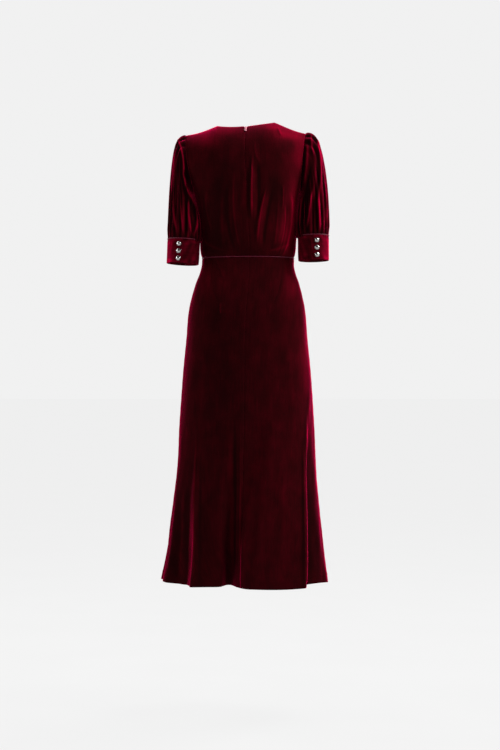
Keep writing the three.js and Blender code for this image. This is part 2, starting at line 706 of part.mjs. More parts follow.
function solid(geometry) {
  const g = geometry.index ? geometry.toNonIndexed() : geometry;
  const points = g.getAttribute("position").array;
  const seen = new Map();
  const vertices = [];
  const triangles = [];
  for (let k = 0; k < points.length; k += 3) {
    const key = [0, 1, 2].map((m) => Math.round(points[k + m] * 1e4)).join();
    if (!seen.has(key)) {
      seen.set(key, vertices.length / 3);
      vertices.push(points[k], points[k + 1], points[k + 2]);
    }
    triangles.push(seen.get(key));
  }
  return new wasm.Manifold(
    new wasm.Mesh({
      numProp: 3,
      vertProperties: new Float32Array(vertices),
      triVerts: new Uint32Array(triangles),
    }),
  );
}

function geometryOf(made) {
  const m = made.getMesh();
  return facingOut([...m.vertProperties], [...m.triVerts]);
}

// A flat shape in X and Y, given a thickness along Z about its own plane
function plate(shape, thick) {
  const g = new THREE.ExtrudeGeometry(shape, { depth: thick, bevelEnabled: false, curveSegments: 8 });
  return g.translate(0, 0, -thick / 2);
}

// The zip's own frame at the slider: across the seam, up along the cloth, and out of it
const sliderMiddle = SLIDER.from + SLIDER.long / 2;
function zipFrame() {
  const at = onBodice(0, NECK_BACK - 6);
  const below = onBodice(0, NECK_BACK - 14).point;
  const top = backPanels.left[backPanels.left.length - 1][0].point;
  const up = vec(0, top.y, top.z).sub(vec(0, below.y, below.z)).normalize();
  const across = vec(1, 0, 0);
  const out = across.clone().cross(up).normalize();
  if (out.dot(at.normal) < 0) out.negate();
  const origin = vec(at.point.x, top.y, top.z).addScaledVector(up, -sliderMiddle);
  return { origin, basis: new THREE.Matrix4().makeBasis(across.multiplyScalar(-1), up, out) };
}
const zip = zipFrame();
const hinge = { up: -1.6, out: SLIDER.proud + TAB.eye };

function sliderGeometry() {
  const half = SLIDER.long / 2;
  const body = new THREE.Shape();
  body.moveTo(-SLIDER.topHalf, half);
  body.lineTo(-SLIDER.footHalf, -half);
  body.lineTo(SLIDER.footHalf, -half);
  body.lineTo(SLIDER.topHalf, half);
  const inside = CLOTH;
  const block = plate(body, SLIDER.proud + inside).translate(0, 0, (SLIDER.proud - inside) / 2);
  const ring = new THREE.Shape();
  ring.absarc(0, 0, TAB.eye + TAB.ring, 0, 2 * Math.PI);
  const hole = new THREE.Path();
  hole.absarc(0, 0, TAB.eye, 0, 2 * Math.PI);
  ring.holes.push(hole);
  const bridge = plate(ring, TAB.bridge).rotateY(Math.PI / 2).translate(0, hinge.up, hinge.out);
  return geometryOf(solid(block).add(solid(bridge)));
}

function tabGeometry() {
  const outer = TAB.neck;
  const bar = TAB.thick / 2;
  const shape = new THREE.Shape();
  shape.moveTo(-outer, bar);
  shape.lineTo(-outer, -TAB.window - TAB.arm);
  shape.lineTo(-TAB.tip, -TAB.long + TAB.tip);
  shape.absarc(0, -TAB.long + TAB.tip, TAB.tip, Math.PI, 2 * Math.PI);
  shape.lineTo(outer, -TAB.window - TAB.arm);
  shape.lineTo(outer, bar);
  const window = new THREE.Path();
  window.moveTo(-outer + TAB.arm, -bar);
  window.lineTo(outer - TAB.arm, -bar);
  window.lineTo(outer - TAB.arm, -bar - TAB.window);
  window.lineTo(-outer + TAB.arm, -bar - TAB.window);
  shape.holes.push(window);
  return plate(shape, TAB.thick).rotateX(TAB_LEAN * RAD);
}

const slider = piece("zip_slider", sliderGeometry(), "zip");
slider.position.copy(zip.origin);
slider.quaternion.setFromRotationMatrix(zip.basis);
const tab = piece("zip_pull_tab", tabGeometry(), "zip");
tab.position.copy(vec(0, hinge.up, hinge.out).applyMatrix4(zip.basis).add(zip.origin));
tab.quaternion.setFromRotationMatrix(zip.basis);

export default dress;
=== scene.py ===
"""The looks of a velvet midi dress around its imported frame.

Shapes are worked out in millimetres, +Z up, with the back of the dress towards +Y and its left towards +X,
and become metres when a mesh is made. Angles are in degrees from the centre back towards the dress's left.
"""

import bpy
import mathutils
import numpy as np
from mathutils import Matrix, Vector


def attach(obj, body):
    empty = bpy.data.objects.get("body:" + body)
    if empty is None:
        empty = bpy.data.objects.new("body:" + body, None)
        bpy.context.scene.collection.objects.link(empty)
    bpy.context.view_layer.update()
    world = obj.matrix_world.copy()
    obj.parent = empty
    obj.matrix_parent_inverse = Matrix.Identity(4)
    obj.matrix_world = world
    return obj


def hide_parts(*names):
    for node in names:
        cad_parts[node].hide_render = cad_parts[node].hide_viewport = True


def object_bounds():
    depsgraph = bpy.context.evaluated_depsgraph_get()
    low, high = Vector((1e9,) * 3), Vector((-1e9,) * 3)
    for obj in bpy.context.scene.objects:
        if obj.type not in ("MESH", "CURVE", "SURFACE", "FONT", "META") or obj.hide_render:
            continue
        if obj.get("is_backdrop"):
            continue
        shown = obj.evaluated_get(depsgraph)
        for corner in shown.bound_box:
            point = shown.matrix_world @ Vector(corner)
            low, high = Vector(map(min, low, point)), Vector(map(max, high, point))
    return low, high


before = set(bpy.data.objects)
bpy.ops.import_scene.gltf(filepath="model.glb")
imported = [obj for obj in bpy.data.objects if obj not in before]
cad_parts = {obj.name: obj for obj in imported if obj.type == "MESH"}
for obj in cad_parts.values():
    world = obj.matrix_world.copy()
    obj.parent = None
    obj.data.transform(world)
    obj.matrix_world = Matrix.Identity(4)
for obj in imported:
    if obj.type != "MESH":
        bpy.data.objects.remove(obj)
cad_box = [list(corner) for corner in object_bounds()]

MM = 0.001

# Lengths down from the neck's shoulder point, and the seams between the pieces
WAIST = -368
HEM = -1256
UNDERARM = -195
SKIRT_MIDDLE = -800
PIPING = 1.2
PIPED = 3
CLOTH = 1.4
SOLID_CLOTH = 2
SOLID_GAP = 0.3

# Neck, shoulders and armholes
NECK_HALF = 82
NECK_BACK = -9
NECK_FRONT = -78
SHOULDER_HALF = 163
SHOULDER_FALL = 28.5
FALL_SPAN = (78, 178)
BACK_ARCH = 150
FRONT_ARCH = 220
TILT_RATE = 0.093
TILT_REACH = 120
ARM_DEPTH = 2.2
ARM_ROUND = 0.45
NOTCH_HALF = 4.2
NOTCH_DEEP = 18
NOTCH_SPREAD = 1.6

# Bust fullness
BUST_REACH = 9
BUST_OUT = 70
BUST_Z = -245
BUST_WIDE = 46
BUST_HIGH = 52

# Sections of the body of the dress, which is a little wider than its solids between underarm and waist
SECTION_COLUMNS = ("z", "half", "back", "front", "mid", "shift", "seam", "square")
SECTIONS = np.array((
    (0, 192, 102, 115, 0, 3, 0, 2.4),
    (-50, 187, 102, 115, 0, 6, 0, 2.4),
    (-100, 177, 102, 115, -1, 6, 0, 2.4),
    (-150, 161, 102, 118, -2, 3, 0, 2.4),
    (-195, 146, 101, 123, -4, 0, 0, 2.4),
    (-235, 140, 98, 124, -5, -1, -1, 2.4),
    (-280, 135.5, 94, 118, -6, -2, -2, 2.4),
    (-325, 132.5, 89, 108, -6, -3, -3, 2.3),
    (-352, 130.5, 85, 101, -6, -3, -4, 2.3),
    (WAIST, 126.5, 80, 95, -6, -3, -4, 2.3),
    (-400, 129, 87, 98, -5, -2, -4, 2.3),
    (-444, 144, 101, 104, -3, -1, -2, 2.25),
    (-510, 159.5, 117, 110, 0, 0, 2, 2.2),
    (-590, 166.5, 123, 114, 0, 0, 6, 2.15),
    (-700, 177, 124, 120, 0, 0, 7, 2.1),
    (-840, 186, 126, 127, 0, 1, 8, 2.05),
    (-930, 190, 126, 130, 0, 1, 9, 2),
    (-1016, 198, 126, 133, 0, 2, 10, 2),
    (-1104, 208, 126, 136, 0, 3, 11, 2),
    (-1192, 218, 126, 139, 0, 4, 12, 2),
    (HEM, 228, 125, 141, 0, 5, 12, 2),
))

# Flares of the skirt: foot, crest, end of crest, far foot, reach at the hem, top, sideways lap and slant
FLARES = (
    (-44.5, -37.5, -6, 7.5, 58, -760, 7, -22),
    (9.5, 17, 33, 41, 26, -930, 5, 4),
    (2.5, 8, 9, 14.5, -24, -860, 0, 0),
    (37.5, 48, 56, 73, -24, -900, 0, 6),
    (104, 116, 128, 141, 34, -840, 5, 0),
    (150, 163, 184, 197, 40, -800, 6, 0),
    (205, 217, 231, 244, 36, -860, 5, 0),
)

# Sleeves: the middles of the cuff's two ends and its half widths, how far the head rises, the buttons' angle
# and the first one's depth, where the lap ends, how far the gathers are turned, and how far the cuff's lower
# corner stands out and how much painted highlight it gets
SLEEVE_COLUMNS = (
    "side", "top", "foot", "out", "deep", "rise",
    "button", "first_button", "lap_edge", "turn", "kick", "painted_corner_highlight",
)
SLEEVE_ROWS = {
    "left": (1, (172.4, 28, -320), (176, 30, -386), 44, 46, -3, 13, 15, 0, 0, 3.4, 1),
    "right": (-1, (-181, 28, -309), (-182.2, 30, -377), 42, 45, 11, 10, 16, -9, 0.7, 1.4, 0.4),
}
SLEEVES = {name: dict(zip(SLEEVE_COLUMNS, row)) for name, row in SLEEVE_ROWS.items()}
CAP_OUT = 46
CAP_OUT_LOW = 0.5
CAP_SIDE = 8
CAP_DROP = 34
HANG_OUTER = 205
HANG_INNER = 62
GATHERS = 21
GATHER_DEPTH = 2.2
PLEAT_ANGLE = 20
PLEAT_DEPTH = 2.4
PLEAT_SPAN = 78
BLOUSE = 1.2
CUFF_OVERLAP = 34
# How strongly a crease's rise paints highlight and shade into the colour
PAINTED_LIGHT_ON_CREASE = 0.36
ON_BODY = -0.6
LEAN_IN = 8
TUCK = 1.6
FOOT_IN = 2.6
FOOT_DOWN = 4.2
BUTTON_PITCH = 19.8
CUFF_THICK = 2

# The zip: its end, its tape's half width and its coil's pitch, the slider's half length, where the bridge
# stands up along the slider and out of it, its radius, and how far the pull tab leans in and how long it is
ZIP_END = -552
TAPE_HALF = 11.5
COIL_PITCH = 2.4
SLIDER_HALF = 3.45
BRIDGE_UP = -1.6
BRIDGE_OUT = 2.25
BRIDGE_RADIUS = 1.4
TAB_LEAN = 6.4
TAB_LONG = 20

# Grids: cells of the frame's solids, and how many of ours lie in each
SIDE_CELLS = 5
ARM_CELLS = 14
BODICE_CELLS = 11
NECK_CELLS = 5
BODICE_FINE = 8
SKIRT_ROWS = 220
SLEEVE_GRID = (113, 253)
CUFF_GRID = (221, 73)
CORD_SIDES = 14
BUTTON_SIDES = 48
WELD = 0.00004


def smooth(start, end, value):
    """0 at start and 1 at end, level at both: 3 t squared less 2 t cubed."""
    t = np.clip((value - start) / (end - start), 0, 1)
    return t * t * (3 - 2 * t)


def mix(a, b, t):
    """A straight blend from a to b."""
    return a + (b - a) * t


def bell(distance, width):
    """A soft bump: e to the minus square of distance over width."""
    return np.exp(-((distance / width) ** 2))


def window(start, full, fading, end, value):
    """0 outside start and end and 1 from full to fading: a smooth rise times a smooth fall."""
    return smooth(start, full, value) * (1 - smooth(fading, end, value))


def cos_sin(angle):
    """The cosine and sine of an angle in degrees."""
    a = np.radians(angle)
    return np.cos(a), np.sin(a)


def squared_off(value, power):
    """A value's power with its sign kept, which squares off a cosine or sine where the power is under 1."""
    return np.sign(value) * np.abs(value) ** power


def unit(vectors):
    """Vectors divided by their own lengths."""
    return vectors / np.linalg.norm(vectors, axis=-1, keepdims=True)


def section(column, z):
    """A column of the sections at heights z: a cubic between rows, whose slope at each row is the chord of
    its neighbours."""
    rows = SECTIONS[:, 0]
    values = SECTIONS[:, SECTION_COLUMNS.index(column)]
    last = len(rows) - 1
    at = np.arange(last + 1)
    above = np.maximum(at - 1, 0)
    below = np.minimum(at + 1, last)
    slope = (values[below] - values[above]) / (rows[below] - rows[above])
    i = np.clip(np.searchsorted(-rows, -np.asarray(z, float)) - 1, 0, last - 1)
    step = rows[i + 1] - rows[i]
    t = np.clip((z - rows[i]) / step, 0, 1)
    ends = values[i] * (1 + 2 * t) * (1 - t) ** 2 + values[i + 1] * t * t * (3 - 2 * t)
    return ends + step * t * (1 - t) * (slope[i] * (1 - t) - slope[i + 1] * t)


def unit_section(angle, square):
    """A rounded square of half side 1: the sine and cosine over the root of the sum of their powers."""
    c, s = cos_sin(angle)
    r = (np.abs(s) ** square + np.abs(c) ** square) ** (-1 / square)
    return s * r, c * r


def angle_at(share, square):
    """The angle at which the rounded square has come out to a share of its half width."""
    return np.degrees(np.arctan2(share, (1 - share**square) ** (1 / square)))


def arch(level, high):
    """How full the upper body is at a level: a quarter circle from the shoulder seam down to a height."""
    t = np.minimum(1, -level / high)
    return np.sqrt(np.maximum(0, 1 - (1 - t) ** 2))


def shoulder_fall(x):
    """How far the shoulder has fallen at x: a quarter sine over the shoulder's span."""
    t = np.clip((np.abs(x) - FALL_SPAN[0]) / (FALL_SPAN[1] - FALL_SPAN[0]), 0, 1)
    return SHOULDER_FALL * np.sin(np.radians(90 * t**1.05))


def bodice(angle, level):
    """Points of the bodice: a rounded square section at each level, arched over at the shoulder seam, fuller
    at the bust, and lowered along the shoulder's fall and tilt."""
    across, behind = unit_section(angle, section("square", level))
    x = section("half", level) * across
    back = section("back", level) * arch(level, BACK_ARCH)
    front = section("front", level) * arch(level, FRONT_ARCH)
    bust = BUST_REACH * bell(np.abs(x) - BUST_OUT, BUST_WIDE) * bell(level - BUST_Z, BUST_HIGH)
    y = section("mid", level) + np.where(behind > 0, back * behind, front * behind - bust)
    fallen = 1 - smooth(0, -UNDERARM, -level)
    tilted = 1 - smooth(150, -WAIST, -level)
    z = level - shoulder_fall(x) * fallen - TILT_RATE * x * bell(x, TILT_REACH) * tilted
    x = x + section("shift", level) + section("seam", level) * np.maximum(0, behind) ** 3
    return np.stack((x, y, z), -1)


def flare_at(flare, angle):
    """How full a flare is at an angle: 0 at its feet and 1 along its crest."""
    foot, crest, crest_end, foot_end = flare[:4]
    middle = (foot + foot_end) / 2
    at = middle + (angle - middle + 180) % 360 - 180
    return window(foot, crest, crest_end, foot_end, at)


def skirt(angle, z):
    """Points of the skirt: the section at each height, pushed out by each flare as far as it has grown."""
    across, behind = unit_section(angle, section("square", z))
    half = section("half", z)
    depth = np.where(behind > 0, section("back", z), section("front", z))
    out = unit(np.stack((across / half, behind / depth), -1))
    x = half * across + section("shift", z) + section("seam", z) * np.maximum(0, behind) ** 3
    y = section("mid", z) + depth * behind
    for flare in FLARES:
        reach, top, lap, slant = flare[4:]
        down = np.clip((z - top) / (HEM - top), 0, 1)
        grown = down**1.15
        at = angle - slant * (1 - down)
        full = flare_at(flare, at)
        lean = flare_at(flare, at + 1.5) - flare_at(flare, at - 1.5)
        push = reach * grown * full
        slip = -2 * lap * grown * lean * full
        x = x + push * out[..., 0] + slip * out[..., 1]
        y = y + push * out[..., 1] - slip * out[..., 0]
    return np.stack((x, y, z + 0 * x), -1)


def armhole_share(level):
    """How far round the body the armhole lies at a level, as a share of the quarter turn to the side."""
    t = np.clip(level / UNDERARM, 0, 1)
    return 1 - (1 - ARM_TOP) * (1 - t**ARM_DEPTH) ** ARM_ROUND


def armhole_level(turn):
    """Level of the armhole at a turn, 0 at the shoulder and 180 at the underarm: half of one less cosine."""
    return UNDERARM * (1 - np.cos(np.radians(turn))) / 2


def neck_edge(along, behind):
    """Share and root of level of the neck edge, from centre (0) to shoulder (1): a quarter ellipse."""
    share = angle_at(NECK_HALF * np.sin(np.radians(90 * along)) / SECTIONS[0, 1], SECTIONS[0, 7]) / 90
    high = BACK_ARCH if behind else FRONT_ARCH
    lowest = NECK_BACK if behind else NECK_FRONT
    _, c = unit_section(share * 90, SECTIONS[0, 7])
    reach = np.minimum(1, arch(lowest, high) * np.cos(np.radians(90 * along)) / c)
    return share, np.sqrt(high * (1 - np.sqrt(np.maximum(0, 1 - reach**2))))


ARM_TOP = angle_at(SHOULDER_HALF / SECTIONS[0, 1], SECTIONS[0, 7]) / 90
NECK_SHARE = angle_at(NECK_HALF / SECTIONS[0, 1], SECTIONS[0, 7]) / 90


def bodice_quarter(behind):
    """Shares and levels of a quarter of the bodice, filled in from its four edges: the blend across plus the
    blend up, less the blend of the corners, worked with the root of the level."""
    cells = SIDE_CELLS + ARM_CELLS
    i = np.linspace(0, cells, cells * BODICE_FINE + 1)
    j = np.linspace(0, BODICE_CELLS, BODICE_CELLS * BODICE_FINE + 1)
    waist = WAIST + PIPED / 2
    neck = NECK_BACK if behind else NECK_FRONT
    on_arm = armhole_level(180 * np.clip(1 - (i - SIDE_CELLS) / ARM_CELLS, 0, 1))
    side_level = np.where(i <= SIDE_CELLS, mix(waist, UNDERARM, i / SIDE_CELLS), on_arm)
    side = {
        "share": np.where(i <= SIDE_CELLS, 1, armhole_share(side_level)),
        "root": np.sqrt(-side_level),
    }
    below_notch = mix(waist, neck - NOTCH_DEEP, np.minimum(1, i / (cells - 1)))
    centre = {"share": 0 * i, "root": np.sqrt(-below_notch - NOTCH_DEEP * np.clip(i - cells + 1, 0, 1))}
    edge_share, edge_root = neck_edge(np.clip(j / NECK_CELLS, 0, 1), behind)
    on_shoulder = mix(NECK_SHARE, ARM_TOP, (j - NECK_CELLS) / (BODICE_CELLS - NECK_CELLS))
    top = {
        "share": np.where(j <= NECK_CELLS, edge_share, on_shoulder),
        "root": np.where(j <= NECK_CELLS, edge_root, 0),
    }
    u = (j / BODICE_CELLS)[None, :]
    v = (i / cells)[:, None]
    foot = {"share": u, "root": np.sqrt(-waist) + 0 * u}
    filled = {}
    for key in ("share", "root"):
        left = centre[key][:, None]
        right = side[key][:, None]
        corners = (1 - u) * ((1 - v) * left[0] + v * left[-1]) + u * ((1 - v) * right[0] + v * right[-1])
        filled[key] = (1 - v) * foot[key] + v * top[key][None, :] + (1 - u) * left + u * right - corners
    return filled["share"], -np.maximum(0, filled["root"]) ** 2


def distance_run(points, axis):
    """Distance run along one direction of a grid: the steps between neighbours, summed up from its start."""
    steps = np.linalg.norm(np.diff(points, axis=axis), axis=-1)
    start = np.zeros_like(np.take(steps, [0], axis=axis))
    return np.concatenate((start, np.cumsum(steps, axis=axis)), axis=axis)


def grid_normals(points, closed=False):
    """Normals of a grid: the cross product of its two directions, each the difference of the neighbours."""
    if closed:
        around = np.concatenate((points[:, -2:-1], points, points[:, 1:2]), 1)
        along = around[:, 2:] - around[:, :-2]
    else:
        along = np.gradient(points, axis=1)
    return unit(np.cross(along, np.gradient(points, axis=0)))


def facing_out(points, normals, centre):
    """1 where a grid's normals point away from a centre on the whole, and -1 where they point towards it."""
    return 1 if np.sum((points - centre) * normals) > 0 else -1


def in_scene(name, data):
    """A new object of the scene that shows some data."""
    obj = bpy.data.objects.new(name, data)
    bpy.context.scene.collection.objects.link(obj)
    return obj


def grid_mesh(name, points, sign, closed=False):
    """A mesh of four-sided faces from a grid of points in millimetres. Its UV map is the distance run along
    each direction, in metres. A closed grid repeats its first column as its last."""
    rows, columns = points.shape[:2]
    used = columns - 1 if closed else columns
    index = np.arange(rows)[:, None] * used + np.arange(columns)[None, :] % used
    uv = np.stack((distance_run(points, 1), distance_run(points, 0)), -1) * MM
    corner = lambda grid: np.stack((grid[:-1, :-1], grid[:-1, 1:], grid[1:, 1:], grid[1:, :-1]), 2)
    faces = corner(index).reshape(-1, 4)
    places = corner(uv).reshape(-1, 4, 2)
    if sign < 0:
        faces = faces[:, ::-1]
        places = places[:, ::-1]
    mesh = bpy.data.meshes.new(name)
    mesh.from_pydata((points[:, :used].reshape(-1, 3) * MM).tolist(), [], faces.tolist())
    mesh.uv_layers.new(name="UVMap").data.foreach_set("uv", places.astype(np.float32).ravel())
    mesh.polygons.foreach_set("use_smooth", np.ones(len(faces), bool))
    return in_scene(name, mesh)


def finish_piece(obj, node, body="dress"):
    """Rides a piece on its body in place of its node, which is hidden."""
    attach(obj, body)
    if node:
        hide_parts(node)
    return obj


def lay_painted_light(obj, painted_light_and_pile, closed=False):
    """Stores painted light at each point for the colour, with some of the pile's own tone: painted shade down
    towards -1 and painted highlight up towards 1.
    """
    used = painted_light_and_pile[:, :-1] if closed else painted_light_and_pile
    layer = obj.data.attributes.new("painted_light_and_pile", "FLOAT", "POINT")
    layer.data.foreach_set("value", used.astype(np.float32).ravel())


def cloth_piece(name, panel, face, reverse, closed=False, thick=CLOTH):
    """A sheet of cloth on a panel's outer points: a thin wall inwards, with its own finish on the reverse."""
    points, sign, painted_light_and_pile = panel
    obj = grid_mesh("cloth_" + name, points, sign, closed)
    lay_painted_light(obj, painted_light_and_pile, closed)
    obj.data.materials.append(face)
    obj.data.materials.append(reverse)
    wall = obj.modifiers.new("wall", "SOLIDIFY")
    wall.thickness = thick * MM
    wall.offset = -1
    wall.material_offset = 1
    wall.material_offset_rim = 0
    finish_piece(obj, name)
    return obj


# Creases of the cloth as it is seen from behind or in front. Each runs from (x0, z0) to (x1, z1), bows
# sideways by bow, is wide to either side of its line, and stands rise proud, or sunk where rise is negative.
# Rise also scales the highlight painted along each crease, which turns to painted shade where rise is
# negative.
BODICE_BACK_CREASES = (
    (-15, -100, -14, -262, 2, 5, 3.4),
    (-31, -120, -30, -268, -2, 9, -1.8),
    (-2, -130, -4, -240, 0, 7, -1.2),
    (-22, -62, -36, -116, 5, 5, 0.8),
    (-52, -186, -28, -330, 4, 5.5, 2.1),
    (-70, -190, -44, -345, 3, 9, -1.4),
    (34, -150, 18, -350, 9, 6, 0.9),
    (50, -170, 34, -345, 12, 11, -1),
    (-99, -176, -97, -238, 0, 4, 1.5),
    (-104, -232, -88, -352, -6, 4, 1.3),
    (-119, -196, -97, -366, -12, 5, 2.2),
    (-108, -215, -84, -366, -9, 6, -1.3),
    (-84, -214, -74, -344, -3, 4, 0.9),
    (-84, -16, -95, -40, 0, 4, 1.5),
    (66, -200, 60, -352, 5, 8, 0.5),
    (108, -186, 92, -300, 9, 6, 0.7),
    (120, -215, 104, -352, 8, 8, 0.6),
    (-120, -330, -60, -352, -4, 7, 0.8),
    (118, -322, 66, -350, 4, 8, 0.6),
)
BODICE_FRONT_CREASES = (
    (118, -210, 74, -246, 0, 5, 1.8),
    (-118, -212, -76, -246, 0, 5, 1.7),
    (70, -262, 58, -366, 3, 4, -1.3),
    (-70, -262, -58, -366, -3, 4, -1.3),
    (62, -270, 49, -362, 3, 8, 1.6),
    (-60, -275, -50, -362, -3, 8, 1.4),
    (104, -190, 88, -350, 6, 9, 1.9),
    (-102, -186, -92, -346, -6, 9, 1.7),
    (24, -250, 18, -360, 4, 10, 1.5),
    (-22, -262, -10, -362, -3, 9, 1.7),
    (88, -70, 96, -170, -6, 10, 1.5),
    (-92, -62, -98, -168, 6, 10, 1.6),
    (40, -110, 22, -180, 5, 14, 0.4),
    (-44, -116, -26, -186, -5, 14, 0.35),
)
SKIRT_BACK_CREASES = (
    (90, -370, 69, -507, 14, 2.6, -0.9),
    (-95, -370, -63, -513, -12, 2.6, -0.7),
    (72, -496, 70, -526, 0, 4, 3.4),
    (-63, -500, -60, -530, 0, 4, 1),
    (98, -380, 84, -492, 12, 9, 0.5),
    (84, -372, 60, -430, 0, 4, 1.2),
    (-103, -380, -82, -500, -10, 9, 0.4),
    (137, -860, 142, -1256, 3, 4.5, 3),
    (124, -900, 128, -1256, 0, 10, -1.2),
    (17, -850, 19, -1256, 0, 4, 2.6),
    (32, -830, 33, -1256, 0, 8, -3.2),
    (-171, -735, -158, -905, 0, 5, 2.6),
    (-153, -880, -157, -1262, 0, 4.5, 3.6),
    (-170, -900, -172, -1256, 0, 10, -1.8),
    (60, -900, 66, -1256, 6, 14, 0.5),
    (-96, -900, -92, -1262, -5, 17, 0.6),
    (-58, -960, -52, -1262, 3, 15, -0.5),
    (112, -620, 122, -900, 5, 17, 0.6),
    (-112, -600, -128, -860, -4, 16, 0.6),
    (172, -980, 186, -1256, -3, 9, 1.3),
    (-196, -1050, -205, -1260, 0, 8, 1.3),
)
SKIRT_FRONT_CREASES = (
    (74, -372, 62, -470, 5, 3, -1.5),
    (-76, -372, -64, -470, -5, 3, -1.5),
    (120, -820, 134, -1256, 5, 10, 3),
    (74, -900, 80, -1256, -5, 16, -2.6),
    (40, -830, 46, -1256, 8, 13, 3.2),
    (6, -960, 4, -1256, 0, 15, -2.4),
    (-40, -850, -46, -1256, -6, 14, 3),
    (-82, -940, -90, -1256, 5, 14, -2.5),
    (-128, -830, -142, -1256, -4, 10, 3.2),
    (158, -900, 172, -1256, 0, 10, 2.6),
    (-160, -960, -176, -1256, 0, 11, 2.2),
    (60, -600, 66, -850, 4, 24, 1.4),
    (-58, -620, -66, -860, -4, 24, 1.3),
)
SLEEVE_CREASES = {
    "left": (
        (193, -32, 174, -150, -8, 5, 3.6),
        (174, -142, 146, -230, 3, 5, 3.6),
        (146, -225, 146, -306, -4, 5, 3),
        (184, -80, 174, -300, 3, 5, 2.4),
        (199, -176, 189, -308, 4, 6, 2.4),
        (160, -202, 152, -312, 4, 6, 2),
        (202, -52, 208, -190, -6, 8, 1.8),
        (186, -90, 182, -240, 0, 7, -2.2),
        (166, -150, 164, -300, 0, 7, -2),
        (194, -150, 198, -300, 3, 6, -1.8),
        (164, -60, 152, -160, 3, 8, 2),
        (152, -74, 142, -190, 3, 7, -1.6),
    ),
    "right": (
        (-176, -26, -182, -92, 3, 5, 2.4),
        (-188, -28, -201, -166, -4, 5, 3.6),
        (-201, -160, -196, -300, 4, 6, 2.2),
        (-179, -184, -166, -290, 0, 6, 2.6),
        (-192, -204, -199, -306, 0, 6, 2.4),
        (-191, -90, -186, -240, -4, 7, -2.3),
        (-172, -130, -156, -280, 4, 7, -1.9),
        (-210, -110, -212, -280, -5, 7, 2),
        (-164, -56, -156, -170, -3, 8, 2.2),
        (-152, -90, -148, -200, 0, 6, -1.6),
        (-158, -190, -150, -296, 3, 5, 2),
    ),
}


def creases(table, x, z, lit=PAINTED_LIGHT_ON_CREASE):
    """Height of a table's creases at points, and the light painted on them: for each crease a bell across its
    bowed line, and a narrower bell of painted highlight with a faint painted shade to one side, both faded
    out at the ends."""
    height = 0 * x
    painted_light_and_pile = 0 * x
    for x0, z0, x1, z1, bow, wide, rise in table:
        run = np.array((x1 - x0, z1 - z0))
        long = np.hypot(*run)
        run = run / long
        along = ((x - x0) * run[0] + (z - z0) * run[1]) / long
        inside = np.clip(along, 0, 1)
        across = (x - x0) * np.abs(run[1]) - (z - z0) * run[0] * np.sign(run[1])
        across = across - bow * 4 * inside * (1 - inside)
        ends = window(-0.08, 0.22, 0.78, 1.08, along)
        spread = wide * (1 + 0.25 * np.sin(5 * along + x0))
        height = height + rise * bell(across, spread) * ends
        streak = bell(across, 0.38 * spread) - 0.4 * bell(across - 1.1 * spread, 0.7 * spread)
        painted_light_and_pile = painted_light_and_pile + lit * rise * streak * ends
    return height, painted_light_and_pile


# Painted highlights and painted shade in broad patches, added to the colour: middle, half width, half height
# and amount
SLEEVE_PAINTED_LIGHT = {
    "left": (
        (207, -250, 13, 80, -0.3),
        (158, -250, 15, 70, 0.2),
        (190, -80, 20, 50, 0.15),
        (160, -110, 12, 50, -0.2),
    ),
    "right": (
        (-160, -240, 13, 80, -0.3),
        (-197, -190, 11, 120, 0.3),
        (-176, -80, 16, 50, 0.1),
    ),
}
BODICE_BACK_PAINTED_LIGHT = (
    (-112, -36, 40, 17, 0.85),
    (-144, -84, 18, 50, 0.6),
    (-70, -14, 30, 11, 0.75),
    (114, -48, 34, 24, 0.6),
    (58, -24, 40, 14, 0.4),
    (-126, -250, 17, 90, 0.95),
    (-104, -312, 16, 50, 0.75),
    (-100, -120, 40, 40, 0.15),
    (-44, -286, 26, 60, 0.16),
    (38, -230, 14, 100, 0.14),
    (80, -250, 40, 100, -0.22),
    (-78, -170, 22, 60, -0.25),
    (60, -150, 30, 60, -0.15),
    (86, -330, 30, 34, -0.15),
    (20, -330, 60, 34, -0.1),
)
BODICE_FRONT_PAINTED_LIGHT = (
    (100, -60, 50, 34, 0.5),
    (-104, -56, 50, 34, 0.6),
    (66, -225, 34, 30, 0.4),
    (-68, -225, 34, 30, 0.35),
    (0, -250, 30, 70, -0.35),
    (110, -320, 24, 50, -0.3),
    (-112, -300, 24, 50, 0.3),
)
SKIRT_BACK_PAINTED_LIGHT = (
    (-122, -440, 24, 60, 0.45),
    (112, -430, 20, 50, 0.25),
    (56, -436, 44, 50, 0.14),
    (-160, -640, 24, 110, 0.3),
    (86, -640, 70, 220, -0.13),
    (-60, -1000, 80, 260, 0.1),
    (12, -800, 20, 120, -0.08),
    (150, -1100, 50, 160, -0.1),
    (159, -1090, 13, 140, -0.35),
    (-158, -1090, 9, 140, -0.45),
    (206, -1040, 24, 220, -0.3),
    (-196, -1000, 26, 240, -0.35),
)
SKIRT_FRONT_PAINTED_LIGHT = (
    (60, -480, 60, 90, 0.3),
    (-70, -460, 50, 90, 0.35),
    (0, -620, 50, 150, -0.3),
    (90, -800, 40, 140, -0.2),
    (-90, -900, 50, 160, 0.2),
    (20, -1120, 60, 120, -0.25),
)


def patches(table, x, z):
    """Sum of a table's soft patches: for each an amount times a bell across and a bell along."""
    return sum(amount * bell(x - x0, wide) * bell(z - z0, high) for x0, z0, wide, high, amount in table)


BODICE_CLOTH = (BODICE_BACK_CREASES, BODICE_BACK_PAINTED_LIGHT, BODICE_FRONT_CREASES, BODICE_FRONT_PAINTED_LIGHT)
SKIRT_CLOTH = (SKIRT_BACK_CREASES, SKIRT_BACK_PAINTED_LIGHT, SKIRT_FRONT_CREASES, SKIRT_FRONT_PAINTED_LIGHT)
# How strongly a crease's rise paints highlight and shade into the skirt's colour
PAINTED_LIGHT_ON_SKIRT = 0.17


